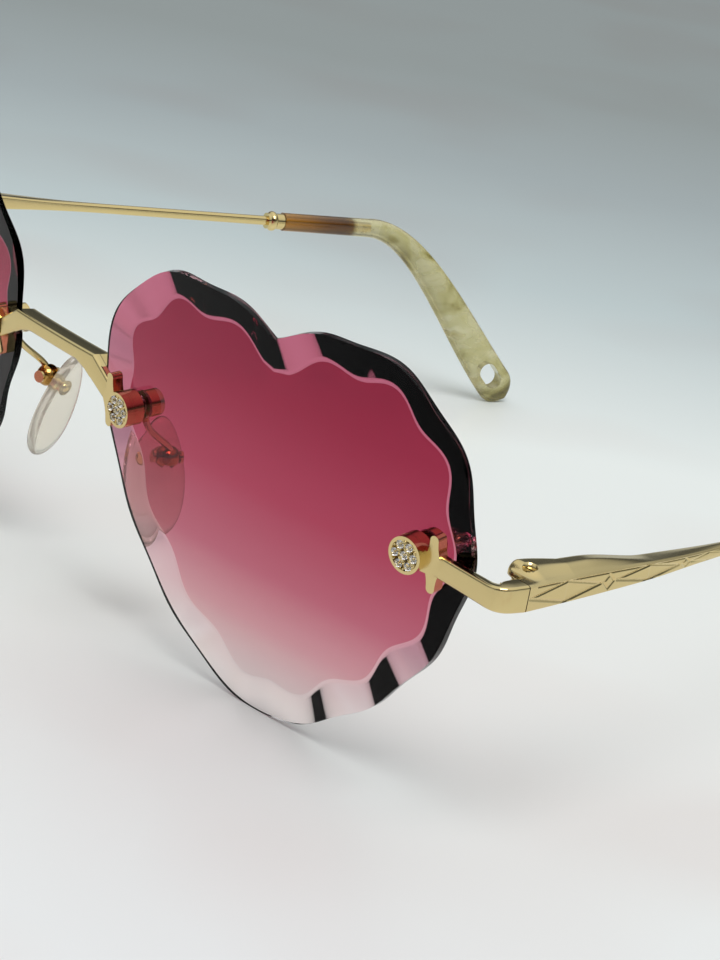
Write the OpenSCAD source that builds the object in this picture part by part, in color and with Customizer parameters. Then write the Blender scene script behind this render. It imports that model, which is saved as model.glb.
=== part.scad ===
// Rimless heart shaped sunglasses, in millimetres.
// +X is the wearer's left, the lenses face -Y and the temples run to +Y.
// The glasses stand on z = 0 on the two lens tips and the two temple tips.

/* [Lenses] */
// Width of one lens
lens_w = 58.5; // [54:0.5:63]
// Height of one lens
lens_h = 49; // [45:0.5:54]
// Thickness of a lens
lens_t = 2.4; // [2:0.1:3]
// Thickness left at the edge, in front of the bevel
edge_t = 1.3; // [1:0.1:1.8]
// Mean width of the scalloped bevel cut on the back
bevel_w = 3.5; // [3:0.1:4.5]
// Number of scallops round one lens
scallops = 14; // [10:1:18]
// Depth of the scallops on the outer edge, from middle to crest
edge_wave = 0.3; // [0.1:0.05:0.5]
// Depth of the scallops on the bevel's inner edge, from middle to crest
bevel_wave = 0.65; // [0.3:0.05:1]
// Radius of the lens's spherical front
base_radius = 250; // [180:5:400]
// Gap between the two lenses
lens_gap = 18.8; // [16:0.2:22]
// Angle that each lens is turned back from straight across
wrap = 7.5; // [4:0.5:12]
// Forward lean of the lenses
lean = 9; // [5:0.5:12]

/* [Plates and screws] */
// Thickness of the star plates and end pieces on the lens front
plate_t = 1.4; // [1.2:0.1:2]
// Reach of a star arm from the star's centre
star_reach = 3.3; // [2.8:0.1:4]
// Width of a star arm at its tip
arm_tip_w = 1.1; // [0.9:0.1:1.5]
// Width of a star arm at its root
arm_root_w = 2.7; // [2.2:0.1:3.4]
// Distance from the star's centre to the screw
star_offset = 3; // [2.6:0.1:3.4]
// Distance of the inner screws from the nose side of the lens
inner_screw_inset = 6; // [5:0.1:7]
// Distance of the outer screws from the temple side of the lens
outer_screw_inset = 6.7; // [6:0.1:8]
// Height of the lens screws above the lens tip
lens_screw_height = 29.8; // [27:0.1:33]
// Diameter of a jewelled screw head
head_d = 4.2; // [3.8:0.1:5]
// Height of a jewelled screw head
head_t = 1; // [0.9:0.1:1.5]
// Diameter of a screw shank
shank_d = 1.4; // [1.2:0.1:1.6]
// Diameter of the rear nuts
nut_d = 3.2; // [2.8:0.1:3.8]
// Length of the rear nuts
nut_t = 1.2; // [1:0.1:1.8]
// Stones round the middle stone in each screw head
stone_count = 6; // [5:1:7]
// Girdle diameter of a stone
stone_d = 1; // [0.8:0.05:1.1]

/* [Bridge and end pieces] */
// Height of the bridge bar
bridge_h = 1.7; // [1.5:0.1:2.6]
// Depth of the bridge bar from front to back
bridge_depth = 2.9; // [2.4:0.1:4]
// Rise of the bridge bar above the stars
bridge_rise = 3; // [2:0.1:4]
// Height of the end pieces
end_h = 2.5; // [2.2:0.1:3]
// Thickness of the end pieces behind the corner
end_t = 2.4; // [2.2:0.1:2.8]
// Drop of the outer stars below their screws
star_drop = 0.3; // [0:0.1:1]
// Rise of the end pieces from the star to the corner
end_rise = 0.3; // [0:0.1:2]
// How far the corners lie in front of the outer stars
end_forward = 0.6; // [0:0.1:1.5]
// Length of the end pieces behind the corner
end_run = 4.2; // [3.8:0.1:6]
// Reach of the end pieces out from the outer stars to the corners
end_reach = 11.1; // [9:0.1:14]

/* [Temples] */
// Length of the metal part of a temple, up to the collar
metal_l = 68; // [60:1:74]
// Length over which the temple thins to its rod
taper_l = 44; // [36:1:50]
// Height of the temple where it meets the front
temple_h = 3; // [2.7:0.1:3.4]
// Thickness of the temple behind the hinge
temple_t = 3.6; // [3.2:0.1:4.2]
// Diameter of the temple's rod
rod_d = 1.4; // [1.2:0.1:1.8]
// Angle that the temples close in towards the back
closing = 10.5; // [6:0.1:12]
// Angle that the temples slope down towards the back
droop = 1; // [0:0.1:2]
// Height of the hinge block
block_h = 4.8; // [4.2:0.1:5.4]
// Diameter of the hinge screw
hinge_screw_d = 1.2; // [1:0.1:1.4]

/* [Temple tips] */
// Length of a tip from the collar to its bend
tip_straight = 19; // [16:0.5:24]
// Length of a tip behind its bend, along the floor
tip_reach = 23.5; // [20:0.5:28]
// How far a tip turns in behind the bend
tip_turn_in = 4.7; // [2:0.1:8]
// Diameter of a tip at the collar
tip_d = 2.7; // [2.4:0.1:3.2]
// Width of a tip at its end
tip_w = 6; // [5.4:0.1:7]
// Thickness of a tip at its end
tip_t = 2.3; // [2:0.1:2.8]
// Width of the oval eyelet
eyelet_w = 2.8; // [2.4:0.1:3.2]
// Length of the oval eyelet
eyelet_l = 4.7; // [3.8:0.1:5.2]

/* [Nose pads] */
// Length of a nose pad
pad_l = 14.6; // [12:0.1:16]
// Width of a nose pad
pad_w = 6.6; // [5.8:0.1:7.6]
// Thickness of a nose pad
pad_t = 1.5; // [1.2:0.1:1.9]
// Distance of a pad's pin from the middle of the nose
pad_x = 14.3; // [12.5:0.1:15]
// Distance of a pad's pin behind the front
pad_y = 5.5; // [4:0.1:6.5]
// Height of a pad's pin above the floor
pad_z = 22.4; // [20:0.1:24]
// Angle that a pad spreads from upright
pad_splay = 15; // [10:1:25]
// Angle that a pad's face turns to the back
pad_turn = 17; // [10:1:35]
// Diameter of the pad arm wire
wire_d = 0.9; // [0.8:0.05:1.2]
// Diameter of a pad box
box_d = 3; // [2.6:0.1:3.4]

/* [Hidden] */
$fn = 48;

tint = [0.62, 0.22, 0.34, 0.6];
gold = [0.80, 0.74, 0.52];
polished = [0.84, 0.78, 0.56];
stone_clear = [0.93, 0.95, 0.96];
clear = [0.90, 0.90, 0.88, 0.6];
milky = [0.90, 0.88, 0.84, 0.7];
horn = [0.72, 0.66, 0.40, 0.9];

// Overrun of every cut
over = 1;
// Clearance of a shank in its hole
shank_gap = 0.05;
// Running clearance of a hinge pin
pin_gap = 0.04;
// Gap between parts that turn past each other
turn_gap = 0.12;
// Wall of the plastic sleeve in a lens hole
sleeve_wall = 0.3;
washer_t = 0.3;
washer_rim = 0.1;
// Gap between a lens's curved back and its flat washers
seat_gap = 0.05;
back_y = lens_t + seat_gap;
foot_t = 0.6;
dome_r = 0.9;
// Depth and rim of the dish that holds the stones
dish_depth = 0.45;
dish_rim = 0.35;
stone_h = 0.75;
stone_table_share = 0.6;
stone_crown_share = 0.35;

// Chamfers of the bars
bar_chamfer = 0.45;
// How far the bars lie below the face of the stars
bar_step = 0.15;
bridge_step = 1.5;
bridge_step_run = 0.12;
bridge_straight = 7.2;
// How far the bar bows forward, and half the length of its flat middle
bridge_bow = 0.5;
bridge_flat = 2;
bridge_level = 5.2;
// Height of the bridge bar at its thick end
bridge_end_h = 2.9;
corner_round = 2.7;

// Squareness of a section: 2 is an oval, more nears a box
oval = 2;
bar_square = 5;
tip_square = 2.4;
// Thickness left at the round end of a tip
tip_end_share = 0.6;
// Where a tip's curve leaves its straight part, how far it runs on, and its pull to the end
tip_leave = 0.8;
tip_run_on = 1.27;
tip_pull = 0.4;

// Hinge
hinge_inset = 3.2;
hinge_setback = 2.6;
knuckle_r = 1.7;
tongue_h = 1.5;
neck_w = 2;
block_l = 7;
block_slope = 3.4;
block_inset = 1;
screw_cap_r = 1.05;
screw_cap_t = 0.45;

// Collar
collar_l = 2.8;
collar_bead_r = 1.5;
collar_ring_r = 1.2;
core_d = 1.1;
core_l = 15;

// Nose pad fittings
pin_d = 0.9;
pin_cap_r = 0.75;
pin_cap_t = 0.3;
lug_t = 0.9;
lug_eye_r = 0.95;
lug_base_t = 0.5;
lug_base_l = 4.4;
lug_base_w = 2.2;
box_w = 3;
// Height over the pin where the arm turns down to its box, in box diameters
arm_rise = 1.4;
pad_stand_off = box_d / 2 + turn_gap + lug_base_t;
// How far a pad hangs below its pin, as a share of its length
pad_drop_share = 0.19;
// How much a pad narrows towards its top
pad_narrowing = 0.22;
pad_drop = pad_l * pad_drop_share;

// Eyelet place from the end of the tip
eyelet_inset = 5.2;

// Heart outline as shares of the lens's width and height: the start of each
// curve and its two control points, from the notch round by the nose side
heart_share = [
    [[0.485, 0.936], [0.444, 0.961], [0.341, 0.989]],
    [[0.258, 0.985], [0.124, 0.978], [0.004, 0.855]],
    [[0.000, 0.705], [-0.006, 0.413], [0.256, 0.004]],
    [[0.499, 0.000], [0.651, -0.002], [1.003, 0.293]],
    [[1.000, 0.634], [0.998, 0.866], [0.855, 1.002]],
    [[0.699, 1.000], [0.606, 0.999], [0.529, 0.957]]
];
// Points drawn along each of those curves
heart_steps = [10, 18, 40, 36, 24, 12];

// Cubic curve from a to d with the control points b and c
function curve(a, b, c, d, t) =
    a * pow(1 - t, 3) + b * 3 * t * pow(1 - t, 2) + c * 3 * t * t * (1 - t) + d * pow(t, 3);
function unit(v) = v / norm(v);
function turn_x(a, p) = [p.x, p.y * cos(a) - p.z * sin(a), p.y * sin(a) + p.z * cos(a)];
function turn_z(a, p) = [p.x * cos(a) - p.y * sin(a), p.x * sin(a) + p.y * cos(a), p.z];
function lowest(rings) = min([for (ring = rings) for (p = ring) p.z]);

// Smooth heart in the lens's own plane
heart = [
    for (k = [0 : len(heart_share) - 1])
        let (from = heart_share[k], to = heart_share[(k + 1) % len(heart_share)][0])
        for (i = [0 : heart_steps[k] - 1])
            let (s = curve(from[0], from[1], from[2], to, i / heart_steps[k]))
            [s.x * lens_w, s.y * lens_h]
];
heart_n = len(heart);
heart_edges = [for (i = [0 : heart_n - 1]) norm(heart[(i + 1) % heart_n] - heart[i])];
heart_run = [for (i = 0, s = 0; i < heart_n; s = s + heart_edges[i], i = i + 1) s];
heart_length = heart_run[heart_n - 1] + heart_edges[heart_n - 1];
// Direction out of the heart at point i
function heart_out(i) =
    let (t = unit(heart[(i + 1) % heart_n] - heart[(i + heart_n - 1) % heart_n]))
    [t.y, -t.x];
// Heart moved in by inset and waved by wave, with a dip at the notch
function scalloped(inset, wave) = [
    for (i = [0 : heart_n - 1])
        heart[i] - heart_out(i) * (inset + wave * cos(360 * scallops * heart_run[i] / heart_length))
];

// The lens is curved: how far its front lies behind its middle at u, v
lens_mid = [lens_w / 2, lens_h / 2];
function sag(q) = pow(norm(q - lens_mid), 2) / (2 * base_radius);
function at_depth(outline, d) = [for (q = outline) [q.x, sag(q) + d, q.y]];
function drawn_in(outline, share) = [for (q = outline) lens_mid + (q - lens_mid) * share];

lens_edge = scalloped(0, edge_wave);
lens_flat = scalloped(bevel_w, bevel_wave);
lens_rings = [
    at_depth(drawn_in(lens_edge, 1 / 3), 0),
    at_depth(drawn_in(lens_edge, 2 / 3), 0),
    at_depth(lens_edge, 0),
    at_depth(lens_edge, edge_t),
    at_depth(lens_flat, lens_t),
    at_depth(drawn_in(lens_flat, 5 / 6), lens_t),
    at_depth(drawn_in(lens_flat, 2 / 3), lens_t),
    at_depth(drawn_in(lens_flat, 1 / 3), lens_t)
];

// From the left lens's plane to the glasses
function lens_turned(p) = turn_z(wrap, turn_x(lean, p));
lens_lift = -lowest([for (ring = lens_rings) [for (p = ring) lens_turned(p)]]);
lens_origin = [lens_gap / 2, 0, lens_lift];
function from_lens(p) = lens_turned(p) + lens_origin;

// The screws stand square to the curved lens
inner_screw = [inner_screw_inset, lens_screw_height];
outer_screw = [lens_w - outer_screw_inset, lens_screw_height];
function tilt_u(q) = atan((q.x - lens_mid.x) / base_radius);
function tilt_v(q) = -atan((q.y - lens_mid.y) / base_radius);
function from_screw(q, p) =
    from_lens([q.x, sag(q), q.y] + turn_z(tilt_u(q), turn_x(tilt_v(q), p)));

module on_lens(q) {
    translate(lens_origin)
        rotate([lean, 0, wrap])
            translate([q.x, sag(q), q.y])
                rotate([tilt_v(q), 0, tilt_u(q)])
                    children();
}
module right() {
    mirror([1, 0, 0])
        children();
}
module both() {
    children();
    right()
        children();
}
// Moves the finished glasses so that their middle lies over the origin
module standing() {
    translate([0, -(foremost + rearmost) / 2, 0])
        children();
}
// A shape drawn in x and z, h thick, from y = 0 to the front
module plate(h) {
    rotate([90, 0, 0])
        linear_extrude(h)
            children();
}
// A cylinder from y = from to y = to
module rod_y(r, from, to) {
    translate([0, from, 0])
        rotate([-90, 0, 0])
            cylinder(r = r, h = to - from);
}

// Closed skin over rings of points, with a fan at each end
module skin(rings, first, last) {
    n = len(rings[0]);
    m = len(rings);
    sides = [
        for (k = [0 : m - 2]) for (i = [0 : n - 1])
            let (a = k * n + i, b = k * n + (i + 1) % n)
            each [[a, b, b + n], [a, b + n, a + n]]
    ];
    start_fan = [for (i = [0 : n - 1]) [m * n, (i + 1) % n, i]];
    end_fan = [
        for (i = [0 : n - 1])
            [m * n + 1, (m - 1) * n + i, (m - 1) * n + (i + 1) % n]
    ];
    polyhedron(
        points = concat([for (ring = rings) each ring], [first, last]),
        faces = concat(sides, start_fan, end_fan)
    );
}
function middle(ring) = [for (p = ring) 1] * ring / len(ring);
module tube_skin(rings) {
    skin(rings, middle(rings[0]), middle(rings[len(rings) - 1]));
}

// Direction of a path at point i
function heading(path, i) =
    unit(path[min(i + 1, len(path) - 1)] - path[max(i - 1, 0)]);
// A section given as [out, up] points, set square on a heading
function ring_at(p, t, section) =
    let (out = unit(cross(t, [0, 0, 1])), up = cross(out, t))
    [for (q = section) p + out * q.x + up * q.y];
function swept(path, sections) =
    [for (i = [0 : len(path) - 1]) ring_at(path[i], heading(path, i), sections[i])];
// Bar section from lo to hi, h high, with cut corners
function bar(lo, hi, h, c) = [
    [lo + c, -h / 2], [hi - c, -h / 2], [hi, c - h / 2], [hi, h / 2 - c],
    [hi - c, h / 2], [lo + c, h / 2], [lo, h / 2 - c], [lo, c - h / 2]
];
// Rounded section, a wide and b high: square is 2 for an oval and more for a box
function rounded(mid, a, b, square, n = 20) = [
    for (i = [0 : n - 1])
        let (c = cos(360 * i / n), s = sin(360 * i / n))
        [
            mid + sign(c) * pow(abs(c), 2 / square) * a / 2,
            sign(s) * pow(abs(s), 2 / square) * b / 2
        ]
];
function mix(a, b, t) = a + (b - a) * t;
function eased(t) = t * t * (3 - 2 * t);

// Star plate: two arms, the seat of the screw head, and a start for the bar
module star_arm() {
    steps = 8;
    half = [
        for (i = [0 : steps])
            let (t = i / steps)
            [arm_tip_w / 2 + (arm_root_w - arm_tip_w) / 2 * pow(1 - t, 2), t * (star_reach - arm_tip_w / 2)]
    ];
    polygon(concat(half, [for (i = [steps : -1 : 0]) [-half[i].x, half[i].y]]));
    translate([0, star_reach - arm_tip_w / 2])
        circle(d = arm_tip_w);
}
module star(side, drop) {
    translate([side * star_offset, -drop]) {
        star_arm();
        mirror([0, 1])
            star_arm();
    }
    circle(d = head_d);
    translate([min(side * star_offset, 0), -end_h / 2 - drop])
        square([star_offset, end_h]);
}
module star_plate(side, drop) {
    difference() {
        plate(plate_t)
            star(side, drop);
        rod_y(shank_d / 2 + shank_gap, -plate_t - over, over);
    }
}

// Lenses
module lens() {
    difference() {
        translate(lens_origin)
            rotate([lean, 0, wrap])
                skin(
                    lens_rings,
                    [lens_mid.x, 0, lens_mid.y],
                    [lens_mid.x, lens_t, lens_mid.y]
                );
        for (q = [inner_screw, outer_screw])
            on_lens(q)
                rod_y(shank_d / 2 + shank_gap + sleeve_wall, -over, lens_t + over);
    }
}
module left_lens() {
    color(tint)
        standing()
            lens();
}
module right_lens() {
    color(tint)
        standing()
            right()
                lens();
}

// Bridge: a level bar that drops and thins to a star plate on each lens
star_front = from_screw(inner_screw, [-star_offset, 0, 0]);
bridge_top = star_front.z + bridge_rise + bridge_h / 2;
// The thick part stops short of the back edge of the lens
bridge_end = min([for (p = lens_rings[3]) from_lens(p).x]) - bridge_step;
bridge_thin = bridge_end + bridge_step_run;
// The bar bows forward from the stars to its flat middle
function bridge_y(x) =
    star_front.y
    - bridge_bow * (1 - pow(max(x - bridge_flat, 0) / (star_front.x - bridge_flat), 2));
// Section at x: its top, height and how far its back lies behind the path
function bridge_ring(x, top, h, back) =
    ring_at(
        [x, bridge_y(abs(x)), top - h / 2],
        [-1, 0, 0],
        bar(bar_step - plate_t, back, h, bar_chamfer)
    );
function bridge_side(side) = [
    bridge_ring(side * star_front.x, star_front.z + end_h / 2, end_h, 0),
    bridge_ring(side * bridge_thin, bridge_top, bridge_end_h, 0),
    bridge_ring(side * bridge_end, bridge_top, bridge_end_h, bridge_depth - plate_t),
    bridge_ring(side * bridge_straight, bridge_top, (bridge_h + bridge_end_h) / 2, bridge_depth - plate_t),
    bridge_ring(side * bridge_level, bridge_top, bridge_h, bridge_depth - plate_t),
    bridge_ring(side * bridge_flat, bridge_top, bridge_h, bridge_depth - plate_t)
];
bridge_left = bridge_side(1);
bridge_right = bridge_side(-1);
bridge_rings = concat(bridge_left, [for (i = [len(bridge_right) - 1 : -1 : 0]) bridge_right[i]]);
module bridge() {
    color(gold)
        standing() {
            tube_skin(bridge_rings);
            both()
                on_lens(inner_screw)
                    star_plate(-1, 0);
        }
}

// End piece: from the outer star along the front, round the corner and back
outer_star = from_screw(outer_screw, [star_offset, -plate_t, -star_drop]);
corner = [outer_star.x + end_reach, outer_star.y - end_forward, outer_star.z + end_rise];
corner_in = corner - unit(corner - outer_star) * corner_round;
corner_out = corner + [0, corner_round, 0];
end_back = corner + [0, end_run, 0];
end_path = concat(
    [outer_star, (outer_star + corner_in) / 2],
    [for (t = [0 : 0.25 : 1]) mix(mix(corner_in, corner, t), mix(corner, corner_out, t), t)],
    [end_back]
);
function end_section(i) =
    let (share = max(0, i - 1) / (len(end_path) - 2))
    bar(
        -mix(plate_t, end_t, eased(share)),
        -bar_step * (1 - share),
        mix(end_h, temple_h, share),
        bar_chamfer
    );
hinge_axis = [corner.x - hinge_inset, end_back.y + hinge_setback, end_back.z];
module left_end() {
    difference() {
        union() {
            tube_skin(swept(end_path, [for (i = [0 : len(end_path) - 1]) end_section(i)]));
            on_lens(outer_screw)
                star_plate(1, star_drop);
            translate(hinge_axis + [0, 0, -tongue_h / 2])
                cylinder(r = knuckle_r, h = tongue_h);
            translate([hinge_axis.x, end_back.y - end_t / 2, hinge_axis.z - tongue_h / 2])
                cube([neck_w, hinge_setback + end_t / 2, tongue_h]);
        }
        translate(hinge_axis + [0, 0, -tongue_h])
            cylinder(d = hinge_screw_d, h = 2 * tongue_h);
    }
}
module left_end_piece() {
    color(gold)
        standing()
            left_end();
}
module right_end_piece() {
    color(gold)
        standing()
            right()
                left_end();
}

// Jewelled screws through the plates, lenses, washers and nuts
function foot_of(q) = q == inner_screw ? foot_t : 0;
module screw(q) {
    difference() {
        rod_y(head_d / 2, -plate_t - head_t, -plate_t);
        rod_y(head_d / 2 - dish_rim, -plate_t - head_t - over, -plate_t - head_t + dish_depth);
    }
    rod_y(shank_d / 2, -plate_t, back_y + washer_t + foot_of(q) + nut_t);
}
module jewelled_screws() {
    color(polished)
        standing()
            both()
                for (q = [inner_screw, outer_screw])
                    on_lens(q)
                        screw(q);
}

// Stones: a cone below the girdle and a cut cone above it
module stone() {
    translate([0, dish_depth - plate_t - head_t, 0])
        rotate([90, 0, 0]) {
            cylinder(
                d1 = stone_d * stone_table_share,
                d2 = stone_d,
                h = stone_h * stone_crown_share,
                $fn = 8
            );
            translate([0, 0, stone_h * stone_crown_share])
                cylinder(
                    d1 = stone_d,
                    d2 = stone_d * stone_table_share,
                    h = stone_h * (1 - stone_crown_share),
                    $fn = 8
                );
        }
}
module crystals() {
    color(stone_clear)
        standing()
            both()
                for (q = [inner_screw, outer_screw])
                    on_lens(q) {
                        stone();
                        for (k = [0 : stone_count - 1])
                            rotate([0, 360 * k / stone_count, 0])
                                translate([head_d / 2 - dish_rim - stone_d / 2, 0, 0])
                                    stone();
                    }
}

// Clear plastic sleeves in the lens holes and washers behind the lenses
module lens_sleeves() {
    color(clear)
        standing()
            both()
                for (q = [inner_screw, outer_screw])
                    on_lens(q)
                        difference() {
                            rod_y(shank_d / 2 + shank_gap + sleeve_wall, 0, lens_t);
                            rod_y(shank_d / 2 + shank_gap, -over, lens_t + over);
                        }
}
module lens_washers() {
    color(clear)
        standing()
            both()
                for (q = [inner_screw, outer_screw])
                    on_lens(q)
                        difference() {
                            rod_y(nut_d / 2 + washer_rim, back_y, back_y + washer_t);
                            rod_y(shank_d / 2 + shank_gap, back_y - over, back_y + washer_t + over);
                        }
}
module nut() {
    difference() {
        union() {
            rod_y(nut_d / 2, 0, nut_t);
            translate([0, nut_t, 0])
                intersection() {
                    sphere(r = dome_r);
                    rod_y(dome_r + over, 0, dome_r + over);
                }
        }
        rod_y(shank_d / 2, -over, nut_t);
    }
}
module lens_nuts() {
    color(gold)
        standing()
            both()
                for (q = [inner_screw, outer_screw])
                    on_lens(q)
                        translate([0, back_y + washer_t + foot_of(q), 0])
                            nut();
}

// Nose pads: a box on a wire arm holds a pin, and the pad rocks on the pin
pad_pin = [pad_x, pad_y, pad_z];
module at_pad() {
    translate(pad_pin)
        rotate([0, -pad_splay, -pad_turn])
            children();
}
// Cylinder along the pin, centred
module along_pin(r, l) {
    rotate([90, 0, 0])
        cylinder(r = r, h = l, center = true);
}
foot_mid = from_screw(inner_screw, [0, back_y + washer_t + foot_t / 2, 0]);
foot_low = from_screw(inner_screw, [0, back_y + washer_t + foot_t / 2, -nut_d / 2 - shank_gap]);
arm_path = [
    for (t = [0 : 0.1 : 1])
        curve(
            foot_low,
            foot_low + (foot_low - foot_mid),
            pad_pin + [box_d / 4, nut_d / 3, box_d * arm_rise],
            pad_pin + [box_d / 4, 0, box_d / 3],
            t
        )
];
module arm_wire() {
    n = 10;
    rings = [
        for (i = [0 : len(arm_path) - 1])
            let (
                t = heading(arm_path, i),
                out = unit(cross(t, [1, 0, 0])),
                up = cross(out, t)
            )
            [
                for (k = [0 : n - 1])
                    arm_path[i] + (out * cos(360 * k / n) + up * sin(360 * k / n)) * wire_d / 2
            ]
    ];
    tube_skin(rings);
}
// Foot between washer and nut, with a short neck that the wire grows from
module foot() {
    translate([0, back_y + washer_t + foot_t, 0]) {
        rod_y(nut_d / 2, -foot_t, 0);
        translate([-wire_d / 2, -foot_t, -nut_d / 2 - wire_d])
            cube([wire_d, foot_t, nut_d / 2 + wire_d]);
    }
}
module left_arm() {
    difference() {
        union() {
            on_lens(inner_screw)
                foot();
            arm_wire();
        }
        on_lens(inner_screw)
            rod_y(shank_d / 2 + shank_gap, back_y, back_y + washer_t + foot_t + over);
        at_pad()
            along_pin(box_d / 2, box_w + 2 * over);
    }
}
// Slotted box that the wire is soldered to
module pad_box() {
    at_pad()
        difference() {
            along_pin(box_d / 2, box_w);
            along_pin(pin_d / 2, box_w + 2 * over);
            translate([-box_d, -lug_t / 2 - turn_gap, -box_d])
                cube([box_d + lug_eye_r + turn_gap, lug_t + 2 * turn_gap, 2 * box_d]);
        }
}
module left_pad_box() {
    color(gold)
        standing()
            pad_box();
}
module right_pad_box() {
    color(gold)
        standing()
            right()
                pad_box();
}
module left_pad_arm() {
    color(gold)
        standing()
            left_arm();
}
module right_pad_arm() {
    color(gold)
        standing()
            right()
                left_arm();
}
module pad_pins() {
    color(polished)
        standing()
            both()
                at_pad() {
                    along_pin(pin_d / 2, box_w);
                    for (s = [-1, 1])
                        translate([0, s * (box_w + pin_cap_t) / 2, 0])
                            along_pin(pin_cap_r, pin_cap_t);
                }
}
module lug() {
    at_pad()
        difference() {
            union() {
                along_pin(lug_eye_r, lug_t);
                translate([-pad_stand_off, -lug_t / 2, -lug_eye_r])
                    cube([pad_stand_off, lug_t, 2 * lug_eye_r]);
                translate([-pad_stand_off, -lug_base_w / 2, -lug_base_l / 2])
                    cube([lug_base_t, lug_base_w, lug_base_l]);
            }
            along_pin(pin_d / 2 + pin_gap, lug_t + 2 * over);
        }
}
module left_pad_lug() {
    color(gold)
        standing()
            lug();
}
module right_pad_lug() {
    color(gold)
        standing()
            right()
                lug();
}
// Teardrop pad, narrower at its top, with a soft edge
pad_outline = [
    for (i = [0 : 23])
        let (a = 15 * i)
        [pad_w / 2 * cos(a) * (1 - pad_narrowing * sin(a)), pad_l / 2 * sin(a) - pad_drop]
];
pad_layers = [[0, 0.86], [0.2, 0.97], [0.5, 1], [0.8, 0.95], [1, 0.78]];
module pad() {
    at_pad()
        skin(
            [
                for (layer = pad_layers)
                    [
                        for (q = pad_outline)
                            [
                                -pad_stand_off - layer[0] * pad_t,
                                q.x * layer[1],
                                (q.y + pad_drop) * layer[1] - pad_drop
                            ]
                    ]
            ],
            [-pad_stand_off, 0, -pad_drop],
            [-pad_stand_off - pad_t, 0, -pad_drop]
        );
}
module left_nose_pad() {
    color(milky)
        standing()
            pad();
}
module right_nose_pad() {
    color(milky)
        standing()
            right()
                pad();
}

// Temple: a tapered bar with the hinge block, then a round rod
temple_dir = [-sin(closing) * cos(droop), cos(closing) * cos(droop), -sin(droop)];
temple_start = end_back + [0, turn_gap, 0];
function temple_at(s) = temple_start + temple_dir * s;
taper_steps = 9;
// Size of the taper's end, hidden in the rod
rod_seat_share = 0.9;
taper_path = [for (i = [0 : taper_steps]) temple_at(taper_l * i / taper_steps)];
rod_mid = -(end_t + temple_t) / 4;
function taper_section(i) =
    let (
        t = i / taper_steps,
        thick = i == 0 ? end_t : mix(temple_t, rod_d * rod_seat_share, eased(t)),
        high = mix(temple_h, rod_d * rod_seat_share, eased(t))
    )
    rounded(mix(-thick / 2, rod_mid, eased(t)), thick, high, mix(bar_square, oval, t));
// The first section is parallel to the end of the end piece
taper_rings = [
    for (i = [0 : taper_steps])
        ring_at(taper_path[i], i == 0 ? [0, 1, 0] : temple_dir, taper_section(i))
];
// Frame of the rod: origin on its axis, +Y along it
module at_rod(s) {
    translate(temple_at(s))
        rotate([-droop, 0, closing])
            translate([rod_mid, 0, 0])
                children();
}
// Block behind the knuckle: its side view, as thick as the temple
module hinge_block() {
    half = [[0, block_h / 2], [block_l - block_slope, block_h / 2], [block_l, rod_d / 2]];
    rotate([90, 0, 90])
        linear_extrude(hinge_inset + knuckle_r - block_inset)
            polygon(concat(half, [for (i = [len(half) - 1 : -1 : 0]) [half[i].x, -half[i].y]]));
}
module left_temple_bar() {
    difference() {
        union() {
            tube_skin(taper_rings);
            at_rod(taper_l) {
                rod_y(rod_d / 2, -rod_d, metal_l - taper_l);
                rod_y(core_d / 2, 0, metal_l - taper_l + collar_l + core_l);
            }
            translate(hinge_axis + [0, 0, -block_h / 2])
                cylinder(r = knuckle_r, h = block_h);
            translate(hinge_axis)
                rotate([0, 0, closing])
                    translate([-knuckle_r, 0, 0])
                        hinge_block();
        }
        translate(hinge_axis + [0, 0, -block_h])
            cylinder(d = hinge_screw_d + 2 * shank_gap, h = 2 * block_h);
        translate(hinge_axis + [0, 0, -tongue_h / 2 - turn_gap])
            cylinder(r = knuckle_r + turn_gap, h = tongue_h + 2 * turn_gap);
        translate(hinge_axis + [-knuckle_r - over, -hinge_setback - over, -tongue_h / 2 - turn_gap])
            cube([knuckle_r + over + neck_w + turn_gap, hinge_setback + over, tongue_h + 2 * turn_gap]);
    }
}
module left_temple() {
    color(gold)
        standing()
            left_temple_bar();
}
module right_temple() {
    color(gold)
        standing()
            right()
                left_temple_bar();
}
module hinge_screws() {
    color(polished)
        standing()
            both()
                translate(hinge_axis) {
                    translate([0, 0, -block_h / 2])
                        cylinder(d = hinge_screw_d, h = block_h + shank_gap);
                    translate([0, 0, block_h / 2 + shank_gap])
                        cylinder(r = screw_cap_r, h = screw_cap_t);
                }
}

// Collar: a turned bead between rod and tip
module collar() {
    at_rod(metal_l)
        rotate([-90, 0, 0])
            rotate_extrude()
                difference() {
                    union() {
                        square([collar_ring_r, collar_l]);
                        translate([0, collar_l / 3])
                            scale([1, collar_l / 3 / collar_bead_r])
                                circle(r = collar_bead_r);
                    }
                    translate([-collar_bead_r - over, -over])
                        square([collar_bead_r + over + core_d / 2, collar_l + 2 * over]);
                }
}
module left_collar() {
    color(polished)
        standing()
            collar();
}
module right_collar() {
    color(polished)
        standing()
            right()
                collar();
}

// Tip: round at the collar, then bent down and flattened to a round end
rod_shift = turn_z(closing, [rod_mid, 0, 0]);
function rod_at(s) = temple_at(s) + rod_shift;
tip_start_s = metal_l + collar_l;
bend = rod_at(tip_start_s + tip_straight);
tip_end = [bend.x - tip_turn_in, bend.y + tip_reach, tip_w / 2];
tip_steps = 12;
tip_line = concat(
    [rod_at(tip_start_s), rod_at(tip_start_s + tip_straight / 2)],
    [
        for (i = [0 : tip_steps])
            curve(
                rod_at(tip_start_s + tip_straight * tip_leave),
                rod_at(tip_start_s + tip_straight * tip_run_on),
                mix(tip_end, bend, tip_pull),
                tip_end,
                i / tip_steps
            )
    ]
);
tip_dir = heading(tip_line, len(tip_line) - 1);
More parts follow.
